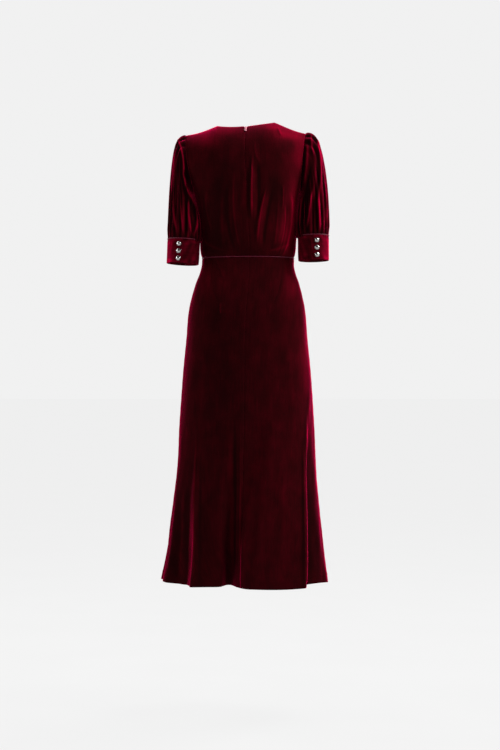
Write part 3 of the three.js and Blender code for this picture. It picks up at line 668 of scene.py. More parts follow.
def folds_both_sides(tables, x, z, behind, lit=PAINTED_LIGHT_ON_CREASE):
    """Height of the creases behind and in front, and the highlights and shade painted by their creases and
    patches, all faded out towards the sides.
    """
    height = 0 * x
    painted_light_and_pile = 0 * x
    for crease_table, painted_light_table, faces in ((tables[0], tables[1], behind), (tables[2], tables[3], -behind)):
        rise, streak = creases(crease_table, x, z, lit)
        shown = smooth(0.03, 0.42, faces)
        height = height + rise * shown
        painted_light_and_pile = painted_light_and_pile + (streak + patches(painted_light_table, x, z)) * shown
    return height, painted_light_and_pile


def ripples(angle, z, start, strength):
    """Slight unevenness all round: waves of unlike lengths across and along, stronger below a start."""
    a = np.radians(angle)
    grown = 0.35 + 0.65 * smooth(start, HEM, z)
    wave = 0.5 * np.sin(7 * a + z / 61 + 1) + 0.4 * np.sin(11 * a - z / 83 + 2.1)
    wave = wave + 0.3 * np.sin(16 * a + z / 47)
    return strength * grown * (wave + 0.3 * np.sin(23 * a - z / 39 + 0.7) + 0.2 * np.sin(31 * a + z / 23 + 2))


def seam_dip(distance, deep=0.9, wide=2.2):
    """The cloth pulled in along a seam: a narrow bell in the distance from it."""
    return -deep * bell(distance, wide)


def seam_pucker(distance, along, size=0.45, pitch=17):
    """Small puckers beside a seam: a wave of uneven pitch along it, faded out within 16 mm."""
    wave = np.sin(2 * np.pi * (along + 5 * np.sin(along / 41)) / pitch)
    return size * wave * bell(distance - 3, 9)


def edge_runs(points):
    """Distances of a grid's points from its first and last columns and rows."""
    across = distance_run(points, 1)
    down = distance_run(points, 0)
    return across, across[:, -1:] - across, down, down[-1:] - down


def relief_on(points, height, sign):
    """A grid moved along its outward normals by a height at each point."""
    return points + grid_normals(points) * sign * height[..., None]


def bodice_height(points, angle, level):
    """Creases, ripples, seams and the neck's rolled edge of a bodice panel."""
    first, last, foot, top = edge_runs(points)
    x, z = points[..., 0], points[..., 2]
    _, behind = unit_section(angle, 2)
    height, painted_light_and_pile = folds_both_sides(BODICE_CLOTH, x, z, behind)
    height = height + ripples(angle, 1.6 * z, -200, 0.55) * smooth(0, 90, -level)
    along = distance_run(points, 0)
    for gap in (first, last):
        height = height + seam_dip(gap) + seam_pucker(gap, along, 0.2, 23)
    height = height + seam_dip(foot, 1, 2.4) + seam_pucker(foot, first, 0.4, 21)
    return height + seam_dip(top, 0.8, 2), painted_light_and_pile


def bodice_panel(behind, sides):
    """One panel of the bodice on the frame's surface, with its creases."""
    share, level = bodice_quarter(behind)
    halves = []
    for side in sides:
        angle = side * share * 90 if behind else side * (180 - share * 90)
        halves.append((angle, level))
    if len(halves) == 2:
        angle = np.concatenate((halves[0][0][:, :0:-1], halves[1][0] % 360), 1)
        level = np.concatenate((level[:, :0:-1], level), 1)
    else:
        angle = halves[0][0]
    points = bodice(angle, level)
    if behind:
        cells = SIDE_CELLS + ARM_CELLS
        up = np.linspace(0, cells, points.shape[0])[:, None] - cells + 1
        near = 1 - np.linspace(0, BODICE_CELLS, points.shape[1])[None, :] / NOTCH_SPREAD
        points[..., 0] += sides[0] * NOTCH_HALF * np.clip(up, 0, 1) ** 1.3 * np.clip(near, 0, 1)
    sign = facing_out(points, grid_normals(points), (0, 0, WAIST / 2))
    height, painted_light_and_pile = bodice_height(points, angle, level)
    return relief_on(points, height, sign), sign, painted_light_and_pile


def skirt_panel(first_angle, last_angle, columns):
    """One panel of the skirt on the frame's surface, with its creases, darts, turned hem and seams."""
    t = np.linspace(0, 1, SKIRT_ROWS + 1)[:, None]
    z = mix(WAIST - PIPED / 2, HEM, t**1.1)
    angle = np.linspace(first_angle, last_angle, columns + 1)[None, :] + 0 * t
    z = z + 0 * angle
    points = skirt(angle, z)
    sign = facing_out(points, grid_normals(points), (0, 0, SKIRT_MIDDLE))
    first, last, top, foot = edge_runs(points)
    x = points[..., 0]
    _, behind = unit_section(angle, 2)
    height, painted_light_and_pile = folds_both_sides(SKIRT_CLOTH, x, z, behind, PAINTED_LIGHT_ON_SKIRT)
    height = 0.75 * height + ripples(angle, z, -620, 1.1) * smooth(0, 60, top)
    for gap in (first, last):
        height = height + seam_dip(gap, 0.6) + seam_pucker(gap, top, 0.16, 31)
    height = height + seam_dip(top, 1, 2.4) + seam_pucker(top, first, 0.4, 19)
    height = height + 0.5 * bell(foot - 22, 3) - 0.5 * bell(foot, 2)
    points = relief_on(points, height, sign)
    points[..., 2] += 2.2 * np.sin(np.radians(5 * angle) + 0.6) * smooth(160, 0, foot)
    return points, sign, painted_light_and_pile


def cuff_frame(sleeve):
    """The middle, the direction down and the two directions across a cuff."""
    top = np.array(sleeve["top"], float)
    foot = np.array(sleeve["foot"], float)
    down = unit(foot - top)
    back = unit(np.array((0, 1, 0)) - down * down[1])
    out = unit(np.cross(back, down))
    if out[0] * sleeve["side"] < 0:
        out = -out
    high = np.linalg.norm(foot - top)
    return {"top": top, "foot": foot, "down": down, "back": back, "out": out, "high": high}


def cuff_ring(sleeve, cuff, share, turn, grown):
    """The ring that a cuff follows: an ellipse in the cuff's frame, where turn 0 faces out and 90 back."""
    c, s = cos_sin(turn[..., None])
    grown = np.asarray(grown, float)[..., None]
    middle = mix(cuff["top"], cuff["foot"], np.asarray(share, float)[..., None])
    return middle + (sleeve["out"] + grown) * c * cuff["out"] + (sleeve["deep"] + grown) * s * cuff["back"]


def button_place(sleeve, cuff, k):
    """The share of the cuff's height and the turn at which one of its buttons sits."""
    return (sleeve["first_button"] + BUTTON_PITCH * k) / cuff["high"], 90 - sleeve["button"]


def armhole(sleeve, turn):
    """The armhole seam at a turn: 0 at the shoulder, 90 at the back and 180 at the underarm."""
    level = armhole_level(turn)
    share = armhole_share(level) * 90
    return bodice(sleeve["side"] * np.where(turn <= 180, share, 180 - share), level)


def hanging_sleeve(sleeve, cuff, turn, t):
    """The sleeve without folds: a cubic curve for each turn, which leaves the armhole sideways and comes down
    on the cuff along the cuff's own direction."""
    upper = (1 + np.cos(np.radians(turn))) / 2
    side = sleeve["side"]
    leave = np.stack((
        side * mix(CAP_OUT_LOW, CAP_OUT, upper**0.8),
        CAP_SIDE * np.sin(np.radians(turn)),
        sleeve["rise"] * upper * np.cos(np.radians(turn)) - CAP_DROP * (1 - upper) ** 2,
    ), -1)
    start = armhole(sleeve, turn % 360)
    tucked = start - np.array((side * TUCK, 0, 0.3 * TUCK))
    end = cuff_ring(sleeve, cuff, 0 * turn, turn, 0 * turn)
    control = end - mix(HANG_INNER, HANG_OUTER, upper**1.2)[..., None] * cuff["down"]
    t = t[..., None]
    points = tucked * (1 - t) ** 3 + (start + leave) * 3 * t * (1 - t) ** 2
    return points + control * 3 * t * t * (1 - t) + end * t**3


def from_shoulder(turn):
    """Degrees between a turn of the armhole and the shoulder, either way round."""
    return 180 - np.abs(180 - turn % 360)


def sleeve_height(sleeve, turn, t):
    """Folds of a sleeve: gathers that grow towards the cuff, pleats that fade from the head, and a slight
    blouse over the cuff. Crests are broad and valleys narrow: one less twice a power of the half wave."""
    fold = lambda phase, power: 1 - 2 * (0.5 - 0.5 * np.cos(phase)) ** power
    a = np.radians(turn)
    inner = 1 - 0.75 * smooth(110, 180, from_shoulder(turn))
    gathered = smooth(0.3, 0.9, t) * (1 - 0.6 * smooth(0.95, 1, t))
    uneven = 1.3 * np.sin(3 * a + 2 * sleeve["turn"]) + 0.7 * np.sin(8 * a + 1)
    size = 0.85 + 0.4 * np.sin(5 * a + 1.3 + sleeve["turn"]) * smooth(1, 0.6, t)
    sway = 0.5 * np.sin(2.5 * t + 4 * a)
    wave = GATHERS * a + uneven + sleeve["turn"] + sway
    gather = 1.15 * GATHER_DEPTH * gathered * size * fold(wave, 1.5)
    fine = 0.6 * gathered * np.cos(43 * a + 2 * np.sin(4 * a) + 5 * t)
    from_top = (turn + 180) % 360 - 180
    headed = window(0, 0.07, 0.12, 0.62, t) * (1 - smooth(PLEAT_SPAN - 25, PLEAT_SPAN, np.abs(from_top)))
    pleat = PLEAT_DEPTH * headed * fold(np.radians(360 * from_top / PLEAT_ANGLE), 1.4)
    blouse = BLOUSE * window(0.6, 0.94, 0.95, 1, t)
    # Painted light on the gathers: a painted highlight along chosen crests, and a little less colour on the
    # head's pleat crests than in their valleys
    ridge = (0.5 + 0.5 * np.cos(wave + 0.5)) ** 10
    chosen = smooth(-0.1, 0.9, np.sin(7.3 * a + sleeve["turn"] + 0.8))
    gather_light = 0.5 * ridge * chosen * smooth(0.12, 0.5, t) - 0.08 * pleat
    return inner * (gather + fine + pleat + blouse), gather_light


def on_body(points, sleeve, turn):
    """The inner side of a sleeve below the underarm, pushed in to rest on the side of the bodice: no nearer
    to the middle than the bodice's own half width at that depth."""
    level = points[..., 2]
    behind = np.clip(np.abs(points[..., 1] - section("mid", level)) / section("back", level), 0, 0.99)
    square = section("square", level)
    body = section("half", level) * (1 - behind**square) ** (1 / square)
    body = body + sleeve["side"] * section("shift", level) + ON_BODY
    inner = bell(180 - turn % 360, 62) * smooth(UNDERARM + 8, UNDERARM - 12, level)
    outwards = sleeve["side"] * points[..., 0]
    near = np.minimum(outwards, np.maximum(body, outwards - LEAN_IN))
    moved = points.copy()
    moved[..., 0] = mix(points[..., 0], sleeve["side"] * near, inner)
    return moved


def sleeve_panel(name):
    """One sleeve on the frame's surface, gathered at both ends, with its creases and its seams."""
    sleeve = SLEEVES[name]
    cuff = cuff_frame(sleeve)
    rows, columns = SLEEVE_GRID
    turn = np.linspace(0, 360, columns)[None, :] + np.zeros((rows, 1))
    t = (1 - (1 - np.linspace(0, 1, rows)) ** 1.7)[:, None] + 0 * turn
    points = hanging_sleeve(sleeve, cuff, turn, t)
    centre = points.mean(1, keepdims=True)
    sign = facing_out(points, grid_normals(points, True), centre)
    height, streaks = sleeve_height(sleeve, turn, t)
    normals = grid_normals(points, True) * sign
    between = window(0, 0.12, 0.93, 1, t)
    seen = smooth(0.1, 0.5, normals[..., 1]) * between
    # The crease and patch tables paint highlights and shade on the side towards +Y, and the other sleeve's
    # creases on the far side
    folds, painted_light_and_pile = creases(SLEEVE_CREASES[name], points[..., 0], points[..., 2])
    painted_light_and_pile = (1.4 * painted_light_and_pile + patches(SLEEVE_PAINTED_LIGHT[name], points[..., 0], points[..., 2])) * seen
    # Painted light on the sleeve: lighter where its folds stand out and along the chosen gather crests, and a
    # little darker all over
    painted_light_and_pile = painted_light_and_pile + 0.1 * height + streaks - 0.14
    height = height + folds * seen
    hidden = smooth(0.1, 0.5, -normals[..., 1]) * between
    other = "right" if name == "left" else "left"
    folds, streak = creases(SLEEVE_CREASES[other], -points[..., 0], points[..., 2])
    painted_light_and_pile = painted_light_and_pile + streak * hidden
    height = height + folds * hidden
    down = distance_run(points, 0)
    away = 1 - smooth(60, 130, from_shoulder(turn))
    foot = bell(down[-1:] - down, 2.6)
    height = height + seam_dip(down, 1.1, 2.6) * away - FOOT_IN * foot
    points = on_body(points + normals * height[..., None], sleeve, turn)
    return points + cuff["down"] * FOOT_DOWN * foot[..., None], sign, painted_light_and_pile


def cuff_band(name):
    """A cuff as one padded band: a rounded section carried along the cuff's ring, which starts at the
    buttoned end, runs round the arm and ends under its own start. The section is a rounded box, and it
    closes at both ends as its thickness falls off like a circle."""
    sleeve = SLEEVES[name]
    cuff = cuff_frame(sleeve)
    sweep = 360 + CUFF_OVERLAP
    gone = np.linspace(0, 1, CUFF_GRID[0])
    gone = sweep * np.where(gone < 0.5, 0.5 * (2 * gone) ** 1.25, 1 - 0.5 * (2 - 2 * gone) ** 1.25)[:, None]
    c, s = cos_sin(np.linspace(0, 360, CUFF_GRID[1])[None, :])
    share = 0.5 - 0.5 * squared_off(c, 0.34)
    deep = 0.5 - 0.5 * squared_off(s, 0.4)
    to_end = np.minimum(gone, sweep - gone)
    round_end = np.sqrt(1 - np.clip(1 - to_end / 2.2, 0, 1) ** 2)
    turn = 90 - sleeve["lap_edge"] - gone
    lifted = (SOLID_CLOTH + SOLID_GAP) * (1 - smooth(CUFF_OVERLAP + 2, CUFF_OVERLAP + 26, gone))
    outer = np.clip(1 - 2 * deep, -1, 1)
    a = np.radians(turn)
    pucker = 0.7 * np.cos(GATHERS * a + 0.6) * smooth(0.32, 0, share)
    wave = 0.5 * np.sin(4 * a + 3 * share) + 0.35 * np.sin(9 * a + 5 * share + 1)
    under = window(CUFF_OVERLAP + 2, CUFF_OVERLAP + 14, sweep - 70, sweep - 40, gone)
    sunk = 0
    for k in range(3):
        row, at = button_place(sleeve, cuff, k)
        sunk = sunk + bell((turn - at) / 9, 1) * bell((share - row) * 5, 0.62)
    edge = 0.5 * bell(share - 0.055, 0.02) + 0.5 * bell(share - 0.93, 0.025)
    shown = np.clip(outer, 0, 1)
    kick = bell((turn % 360 - 62) / 26, 1) * smooth(0.55, 1, share) * sleeve["kick"]
    grown = lifted - CUFF_THICK * deep * round_end - CUFF_THICK * 0.5 * (1 - round_end)
    grown = grown + under * (pucker + wave) + kick - shown * (0.5 * sunk + 0.5 * edge)
    run = np.radians(turn) * sleeve["out"]
    # Colour of the cuff: an uneven tone of the pile, with a painted highlight on the lower outer corner, a
    # painted highlight towards the outer side and painted shade towards the back
    painted_light_and_pile = 0.42 + 0.22 * np.sin(run / 9 + 2) * np.sin(17 * share + 1) + 0.12 * np.sin(run / 3.1 + 9 * share)
    painted_light_and_pile = painted_light_and_pile + 0.9 * bell(share - 0.95, 0.09) * bell((turn % 360 - 40) / 34, 1) * sleeve["painted_corner_highlight"]
    painted_light_and_pile = painted_light_and_pile + 0.45 * bell((turn % 360 - 28) / 22, 1) - 0.22 * bell((turn % 360 - 112) / 12, 1)
    share = 0.5 + (share - 0.5) * (0.985 + 0.015 * round_end)
    level = mix(PIPED / 2 / cuff["high"], 1, share)
    points = cuff_ring(sleeve, cuff, level, turn + 0 * share, grown)
    return points, cuff, painted_light_and_pile


def tube(path, out, radius, closed):
    """A round cord along a path: circles square to it, whose radius is nothing at an open cord's ends."""
    after = np.roll(path, -1, 0)
    before = np.roll(path, 1, 0)
    if not closed:
        after[-1] = path[-1]
        before[0] = path[0]
    along = unit(after - before)
    first = unit(out - along * np.sum(out * along, -1, keepdims=True))
    second = np.cross(along, first)
    c, s = cos_sin(np.linspace(0, 360, CORD_SIDES + 1)[None, :, None])
    radius = np.broadcast_to(radius, len(path)).astype(float)
    if not closed:
        radius[[0, -1]] = 0.02
    ring = first[:, None] * c + second[:, None] * s
    points = path[:, None] + radius[:, None, None] * ring
    if closed:
        points = np.concatenate((points, points[:1]), 0)
    return points


def turned_shape(profile, seat, axis):
    """A shape turned about an axis: each point of a profile of radius and height, carried round."""
    axis = unit(np.asarray(axis, float))
    first = unit(np.cross(axis, (0.0, 0.0, 1.0)))
    second = np.cross(axis, first)
    c, s = cos_sin(np.linspace(0, 360, BUTTON_SIDES + 1)[None, :, None])
    profile = np.asarray(profile, float)
    circle = first * c + second * s
    return np.asarray(seat) + profile[:, :1, None] * circle + profile[:, 1:2, None] * axis


# Finishes

def socket_group(name, inputs, outputs):
    """A shader node group with named inputs and outputs, and its two end nodes."""
    group = bpy.data.node_groups.new(name, "ShaderNodeTree")
    for label, kind, value in inputs:
        made = group.interface.new_socket(label, in_out="INPUT", socket_type=kind)
        if value is not None:
            made.default_value = value
    for label, kind in outputs:
        group.interface.new_socket(label, in_out="OUTPUT", socket_type=kind)
    return group, group.nodes.new("NodeGroupInput"), group.nodes.new("NodeGroupOutput")


def node(tree, kind, links=(), **settings):
    """A node with its settings, and its inputs linked or set by number or name."""
    made = tree.nodes.new(kind)
    for key, value in settings.items():
        setattr(made, key, value)
    for key, value in links:
        if isinstance(value, bpy.types.NodeSocket):
            tree.links.new(value, made.inputs[key])
        else:
            made.inputs[key].default_value = value
    return made


def scaled(tree, place, scale):
    """A place stretched by a scale along each axis."""
    return node(tree, "ShaderNodeMapping", ((0, place), ("Scale", scale))).outputs[0]


def noise(tree, place, scale, detail, rough=0.5):
    """The value of a noise texture at a place."""
    links = ((0, place), ("Scale", scale), ("Detail", detail), ("Roughness", rough))
    return node(tree, "ShaderNodeTexNoise", links).outputs[0]


def arithmetic(tree, operation, a, b):
    """One step of arithmetic."""
    return node(tree, "ShaderNodeMath", ((0, a), (1, b)), operation=operation).outputs[0]


def pile_group():
    """Pile of the velvet: patches brushed one way or another, streaks along the pile's direction, and the
    pile's grain.
    """
    group, given, out = socket_group(
        "pile",
        (("Place", "NodeSocketVector", None), ("Patch Size", "NodeSocketFloat", 0.05),
         ("Streaks", "NodeSocketFloat", 0.5), ("Grain", "NodeSocketFloat", 0.3)),
        (("Shade", "NodeSocketFloat"), ("Height", "NodeSocketFloat")),
    )
    place = given.outputs["Place"]
    patch_scale = arithmetic(group, "DIVIDE", 1.0, given.outputs["Patch Size"])
    patch = noise(group, scaled(group, place, (1.5, 1, 1)), patch_scale, 2.5)
    streak = noise(group, scaled(group, place, (480, 16, 1)), 1.0, 3, 0.6)
    grain = noise(group, place, 1500.0, 1.5)
    centred = arithmetic(group, "SUBTRACT", streak, 0.5)
    streaks = arithmetic(group, "MULTIPLY", centred, given.outputs["Streaks"])
    grains = arithmetic(group, "MULTIPLY", arithmetic(group, "SUBTRACT", grain, 0.5), given.outputs["Grain"])
    calm = arithmetic(group, "ADD", arithmetic(group, "MULTIPLY", patch, 0.55), 0.225)
    shade = arithmetic(group, "ADD", arithmetic(group, "ADD", calm, streaks), grains)
    group.links.new(shade, out.inputs["Shade"])
    height = arithmetic(group, "ADD", arithmetic(group, "MULTIPLY", patch, 0.6), streaks)
    group.links.new(arithmetic(group, "ADD", height, grains), out.inputs["Height"])
    return group


def weave_group():
    """Threads that cross: two waves along the piece's own directions, the higher of the two showing."""
    group, given, out = socket_group(
        "weave",
        (("Place", "NodeSocketVector", None), ("Threads", "NodeSocketFloat", 1500.0)),
        (("Height", "NodeSocketFloat"), ("Shade", "NodeSocketFloat")),
    )
    parts = node(group, "ShaderNodeSeparateXYZ", ((0, given.outputs["Place"]),)).outputs
    turns = arithmetic(group, "MULTIPLY", given.outputs["Threads"], 2 * np.pi)
    across = arithmetic(group, "SINE", arithmetic(group, "MULTIPLY", parts[0], turns), 0.0)
    along = arithmetic(group, "SINE", arithmetic(group, "MULTIPLY", parts[1], turns), 0.0)
    group.links.new(arithmetic(group, "MAXIMUM", across, along), out.inputs["Height"])
    group.links.new(noise(group, given.outputs["Place"], 260.0, 2.0), out.inputs["Shade"])
    return group


PILE = pile_group()
WEAVE = weave_group()


def new_material(name, **values):
    """A material with a Principled BSDF, its plain values set on the shader's own sockets."""
    material = bpy.data.materials.new(name)
    material.use_nodes = True
    shader = material.node_tree.nodes["Principled BSDF"]
    for label, value in values.items():
        shader.inputs[label.replace("_", " ")].default_value = value
    return material, material.node_tree, shader


def placed_group(tree, group, place, values):
    """A node group in a material, with its place and its own values."""
    made = node(tree, "ShaderNodeGroup", node_tree=group)
    tree.links.new(place, made.inputs["Place"])
    for label, value in values:
        made.inputs[label].default_value = value
    return made


def colour_between(tree, factor, low, high, dark, light):
    """A colour from dark to light as a factor goes from low to high."""
    share = node(tree, "ShaderNodeMapRange", ((0, factor), (1, low), (2, high))).outputs[0]
    mixed = node(tree, "ShaderNodeMix", data_type="RGBA")
    tree.links.new(share, mixed.inputs[0])
    mixed.inputs[6].default_value = (*dark, 1)
    mixed.inputs[7].default_value = (*light, 1)
    return mixed.outputs[2]


def finished(made, colour, factor, rough, height, bump):
    """Links a material's colour, a roughness that follows a factor, and a bump. Rough is the factor's low
    and high and the roughness at each, and bump is its strength and distance."""
    material, tree, shader = made
    tree.links.new(colour, shader.inputs["Base Color"])
    spread = node(tree, "ShaderNodeMapRange", ((0, factor), *enumerate(rough, 1)))
    tree.links.new(spread.outputs[0], shader.inputs["Roughness"])
    links = (("Height", height), ("Strength", bump[0]), ("Distance", bump[1]))
    tree.links.new(node(tree, "ShaderNodeBump", links).outputs[0], shader.inputs["Normal"])
    return material


def uv_place(tree):
    """The piece's own UV map, in metres along the cloth."""
    return node(tree, "ShaderNodeUVMap", uv_map="UVMap").outputs[0]


def velvet(name, patch, dark, light):
    """Cut velvet: a dark ground, bright where the pile turns away, with brushed patches and fine streaks. The
    tone is the pile's shade plus the painted highlights and shade stored on the piece, and the colour follows
    the square of the tone."""
    made = new_material(
        name,
        Sheen_Weight=1.0,
        Sheen_Roughness=0.28,
        Sheen_Tint=(0.95, 0.004, 0.105, 1),
        Specular_IOR_Level=0.0,
    )
    tree = made[1]
    values = (("Patch Size", patch), ("Streaks", 0.5), ("Grain", 0.35))
    pile = placed_group(tree, PILE, uv_place(tree), values)
    shade = pile.outputs["Shade"]
    painted_pile_light = node(tree, "ShaderNodeAttribute", attribute_name="painted_light_and_pile").outputs["Fac"]
    # Painted highlights and shade stored on the piece raise and lower the tone, and so the base colour
    tone = arithmetic(tree, "ADD", arithmetic(tree, "MULTIPLY", shade, 1.1), painted_pile_light)
    share = node(tree, "ShaderNodeMapRange", ((0, tone), (1, 0.1), (2, 1.9))).outputs[0]
    squared = arithmetic(tree, "POWER", share, 2.0)
    colour = colour_between(tree, squared, 0.0, 1.0, dark, light)
    return finished(made, colour, shade, (0.25, 0.8, 0.72, 0.9), pile.outputs["Height"], (0.45, 0.0012))


def woven(name, threads, dark, light, rough, bump, **values):
    """Plain threads or fine ribs, which show in the colour, the roughness and the bump."""
    made = new_material(name, **values)
    weave = placed_group(made[1], WEAVE, uv_place(made[1]), (("Threads", threads),))
    shade = weave.outputs["Shade"]
    colour = colour_between(made[1], shade, 0.3, 0.7, dark, light)
    return finished(made, colour, shade, (0.3, 0.7, *rough), weave.outputs["Height"], bump)


def satin_cord(name):
    """Piping: a bias strip over a cord, with a soft gloss, fine threads and the wrinkles of the strip."""
    made = new_material(
        name,
        Sheen_Weight=0.4,
        Sheen_Roughness=0.35,
        Sheen_Tint=(0.9, 0.08, 0.2, 1),
        Specular_IOR_Level=0.12,
    )
    tree = made[1]
    place = uv_place(tree)
    wrinkle = noise(tree, scaled(tree, place, (60, 700, 1)), 1.0, 2.0)
    weave = placed_group(tree, WEAVE, place, (("Threads", 2200.0),))
    colour = colour_between(tree, wrinkle, 0.3, 0.75, (0.06, 0.005, 0.013), (0.115, 0.011, 0.027))
    return finished(made, colour, weave.outputs["Shade"], (0.3, 0.7, 0.42, 0.6), wrinkle, (0.5, 0.0004))


def metal(name, metallic, stretch, scale, rough_noise, colours, rough, bump):
    """Metal with soft scuffs, or with its dye worn thin here and there. Colours are the noise's low and high
    and the colour at each."""
    made = new_material(name, Metallic=metallic)
    tree = made[1]
    place = node(tree, "ShaderNodeTexCoord").outputs["Object"]
    wear = noise(tree, scaled(tree, place, stretch), scale, 4.0, rough_noise)
    return finished(made, colour_between(tree, wear, *colours), wear, rough, wear, (bump, 0.0002))


body_velvet = velvet("velvet_body", 0.05, (0.0105, 0.0014, 0.0016), (0.2, 0.0008, 0.012))
# The sleeves' copy of the velvet has a darker ground and a brighter top, which deepens the painted shade and
# highlights on the gathers
sleeve_velvet = velvet("velvet_sleeves", 0.035, (0.007, 0.001, 0.0012), (0.22, 0.0008, 0.0155))
reverse = woven(
    "velvet_reverse", 800.0, (0.05, 0.004, 0.008), (0.075, 0.007, 0.012), (0.8, 0.95), (0.5, 0.0003),
    Sheen_Weight=0.15, Sheen_Tint=(0.5, 0.1, 0.12, 1),
)
piping = satin_cord("piping_satin")
button_metal = metal(
    "button_plate", 1.0, (900, 900, 300), 1.0, 0.65,
    (0.35, 0.75, (0.36, 0.355, 0.35), (0.52, 0.51, 0.5)), (0.4, 0.8, 0.06, 0.16), 0.05,
)
zip_metal = metal(
    "zip_dyed_metal", 0.85, (1, 1, 1), 1600.0, 0.6,
    (0.45, 0.75, (0.2, 0.06, 0.08), (0.32, 0.13, 0.155)), (0.3, 0.8, 0.5, 0.3), 0.12,
)
tape = woven(
    "zip_tape_threads", 1100.0, (0.02, 0.001, 0.003), (0.04, 0.003, 0.007), (0.7, 0.88), (0.6, 0.0003),
    Specular_IOR_Level=0.2,
)


# Pieces

for name, behind, sides in (
    ("bodice_back_left", True, (1,)),
    ("bodice_back_right", True, (-1,)),
    ("bodice_front", False, (1, -1)),
):
    cloth_piece(name, bodice_panel(behind, sides), body_velvet, reverse)

for name, first_angle, last_angle, columns in (
    ("skirt_back_left", 0, 90, 110),
    ("skirt_back_right", 0, -90, 110),
    ("skirt_front", 90, 270, 200),
):
    cloth_piece(name, skirt_panel(first_angle, last_angle, columns), body_velvet, reverse)

for name in SLEEVES:
    cloth_piece("sleeve_" + name, sleeve_panel(name), sleeve_velvet, reverse, closed=True)


def closed_piece(name, points, material, node_name, body="dress"):
    """A closed surface whose section runs along the grid's second direction, with its poles merged."""
    centre = points.mean(1, keepdims=True)
    sign = facing_out(points, grid_normals(points, True), centre)
    obj = grid_mesh(name, points, sign, True)
    obj.data.materials.append(material)
    merge = obj.modifiers.new("merge", "WELD")
    merge.merge_threshold = WELD
    return finish_piece(obj, node_name, body)


for name, sleeve in SLEEVES.items():
    points, cuff, painted_light_and_pile = cuff_band(name)
    band = closed_piece("cloth_cuff_" + name, points, sleeve_velvet, "cuff_" + name)
    lay_painted_light(band, painted_light_and_pile, True)

    turn = np.linspace(0, 360, 181)[:-1]
    ring = cuff_ring(sleeve, cuff, 0 * turn, turn, 0.7 + 0 * turn)
    out = ring - cuff["top"]
    size = PIPING * (1 + 0.05 * np.sin(np.radians(47 * turn)))
    closed_piece("cord_cuff_" + name, tube(ring, out, size, True), piping, "cuff_piping_" + name)

    for k in range(3):
        share, at = button_place(sleeve, cuff, k)
        seat, beside = cuff_ring(sleeve, cuff, share, np.array((at, at + 1)), SOLID_CLOTH + SOLID_GAP)
        facing = unit(np.cross(cuff["down"], beside - seat)) * sleeve["side"]
        dome = np.radians(np.linspace(0, 90, 14))
        profile = [(0.02, 0.1), (1.7, 0.1), (1.55, 0.8), (1.5, 1.5), (3.6, 1.55), (5.6, 1.5), (6.1, 1.62)]
        bead = np.radians(np.linspace(-60, 100, 9))
        profile += [(5.95 + 0.52 * np.cos(a), 2.12 + 0.52 * np.sin(a)) for a in bead]
        profile += [(5.55 * np.cos(a), 2.55 + 3.0 * np.sin(a)) for a in dome]
        profile[-1] = (0.02, profile[-1][1])
        shape = turned_shape(profile, seat, facing)
        node_name = "button_%s_%d" % (name, k + 1)
        closed_piece("plate_" + node_name, shape, button_metal, node_name)


def waist_cord(name, first_angle, last_angle):
    """Piping in the waist seam: a cord that follows the skirt's top edge, half sunk in the seam."""
    turn = np.linspace(first_angle, last_angle, 161)
    path = skirt(turn, np.full(len(turn), float(WAIST)))
    out = path * (1, 1, 0)
    path = path - unit(out) * 0.4
    size = PIPING * (1 + 0.05 * np.sin(np.radians(31 * turn)))
    closed_piece("cord_" + name, tube(path, out, size, False), piping, name)


waist_cord("waist_piping_back_left", 0.1, 90)
waist_cord("waist_piping_back_right", -0.1, -90)
waist_cord("waist_piping_front", 90, 270)


# The zip

def zip_line(rows):
    """Points and outward normals down the centre back, from the notch's top to the zip's end."""
    z = np.linspace(NECK_BACK - 1, ZIP_END, rows)
    upper = bodice(0 * z, np.maximum(z, WAIST))
    lower = skirt(0 * z, np.minimum(z, WAIST))
    points = np.where((z > WAIST)[:, None], upper, lower)
    along = np.gradient(points, axis=0)
    out = unit(np.stack((0 * z, -along[:, 2], along[:, 1]), -1))
    return points, out * np.sign(out[:, 1:2])


def zip_tape_piece():
    """The tape behind the seam: flat across, with a slight crown where the two halves meet."""
    points, out = zip_line(160)
    across = np.linspace(-TAPE_HALF, TAPE_HALF, 25)
    deep = SOLID_CLOTH + 1.1 - 0.3 * bell(across, 1.4)
    grid = points[:, None] + np.array((1, 0, 0)) * across[None, :, None] - out[:, None] * deep[None, :, None]
    curve = (across[None, :, None] / 60) ** 2 * 6
    grid = grid - np.array((0, 1, 0)) * curve
    sign = facing_out(grid, grid_normals(grid), (0, 0, WAIST))
    obj = cloth_piece("zip_tape", (grid, sign, 0 * grid[..., 0]), tape, tape, thick=0.5)


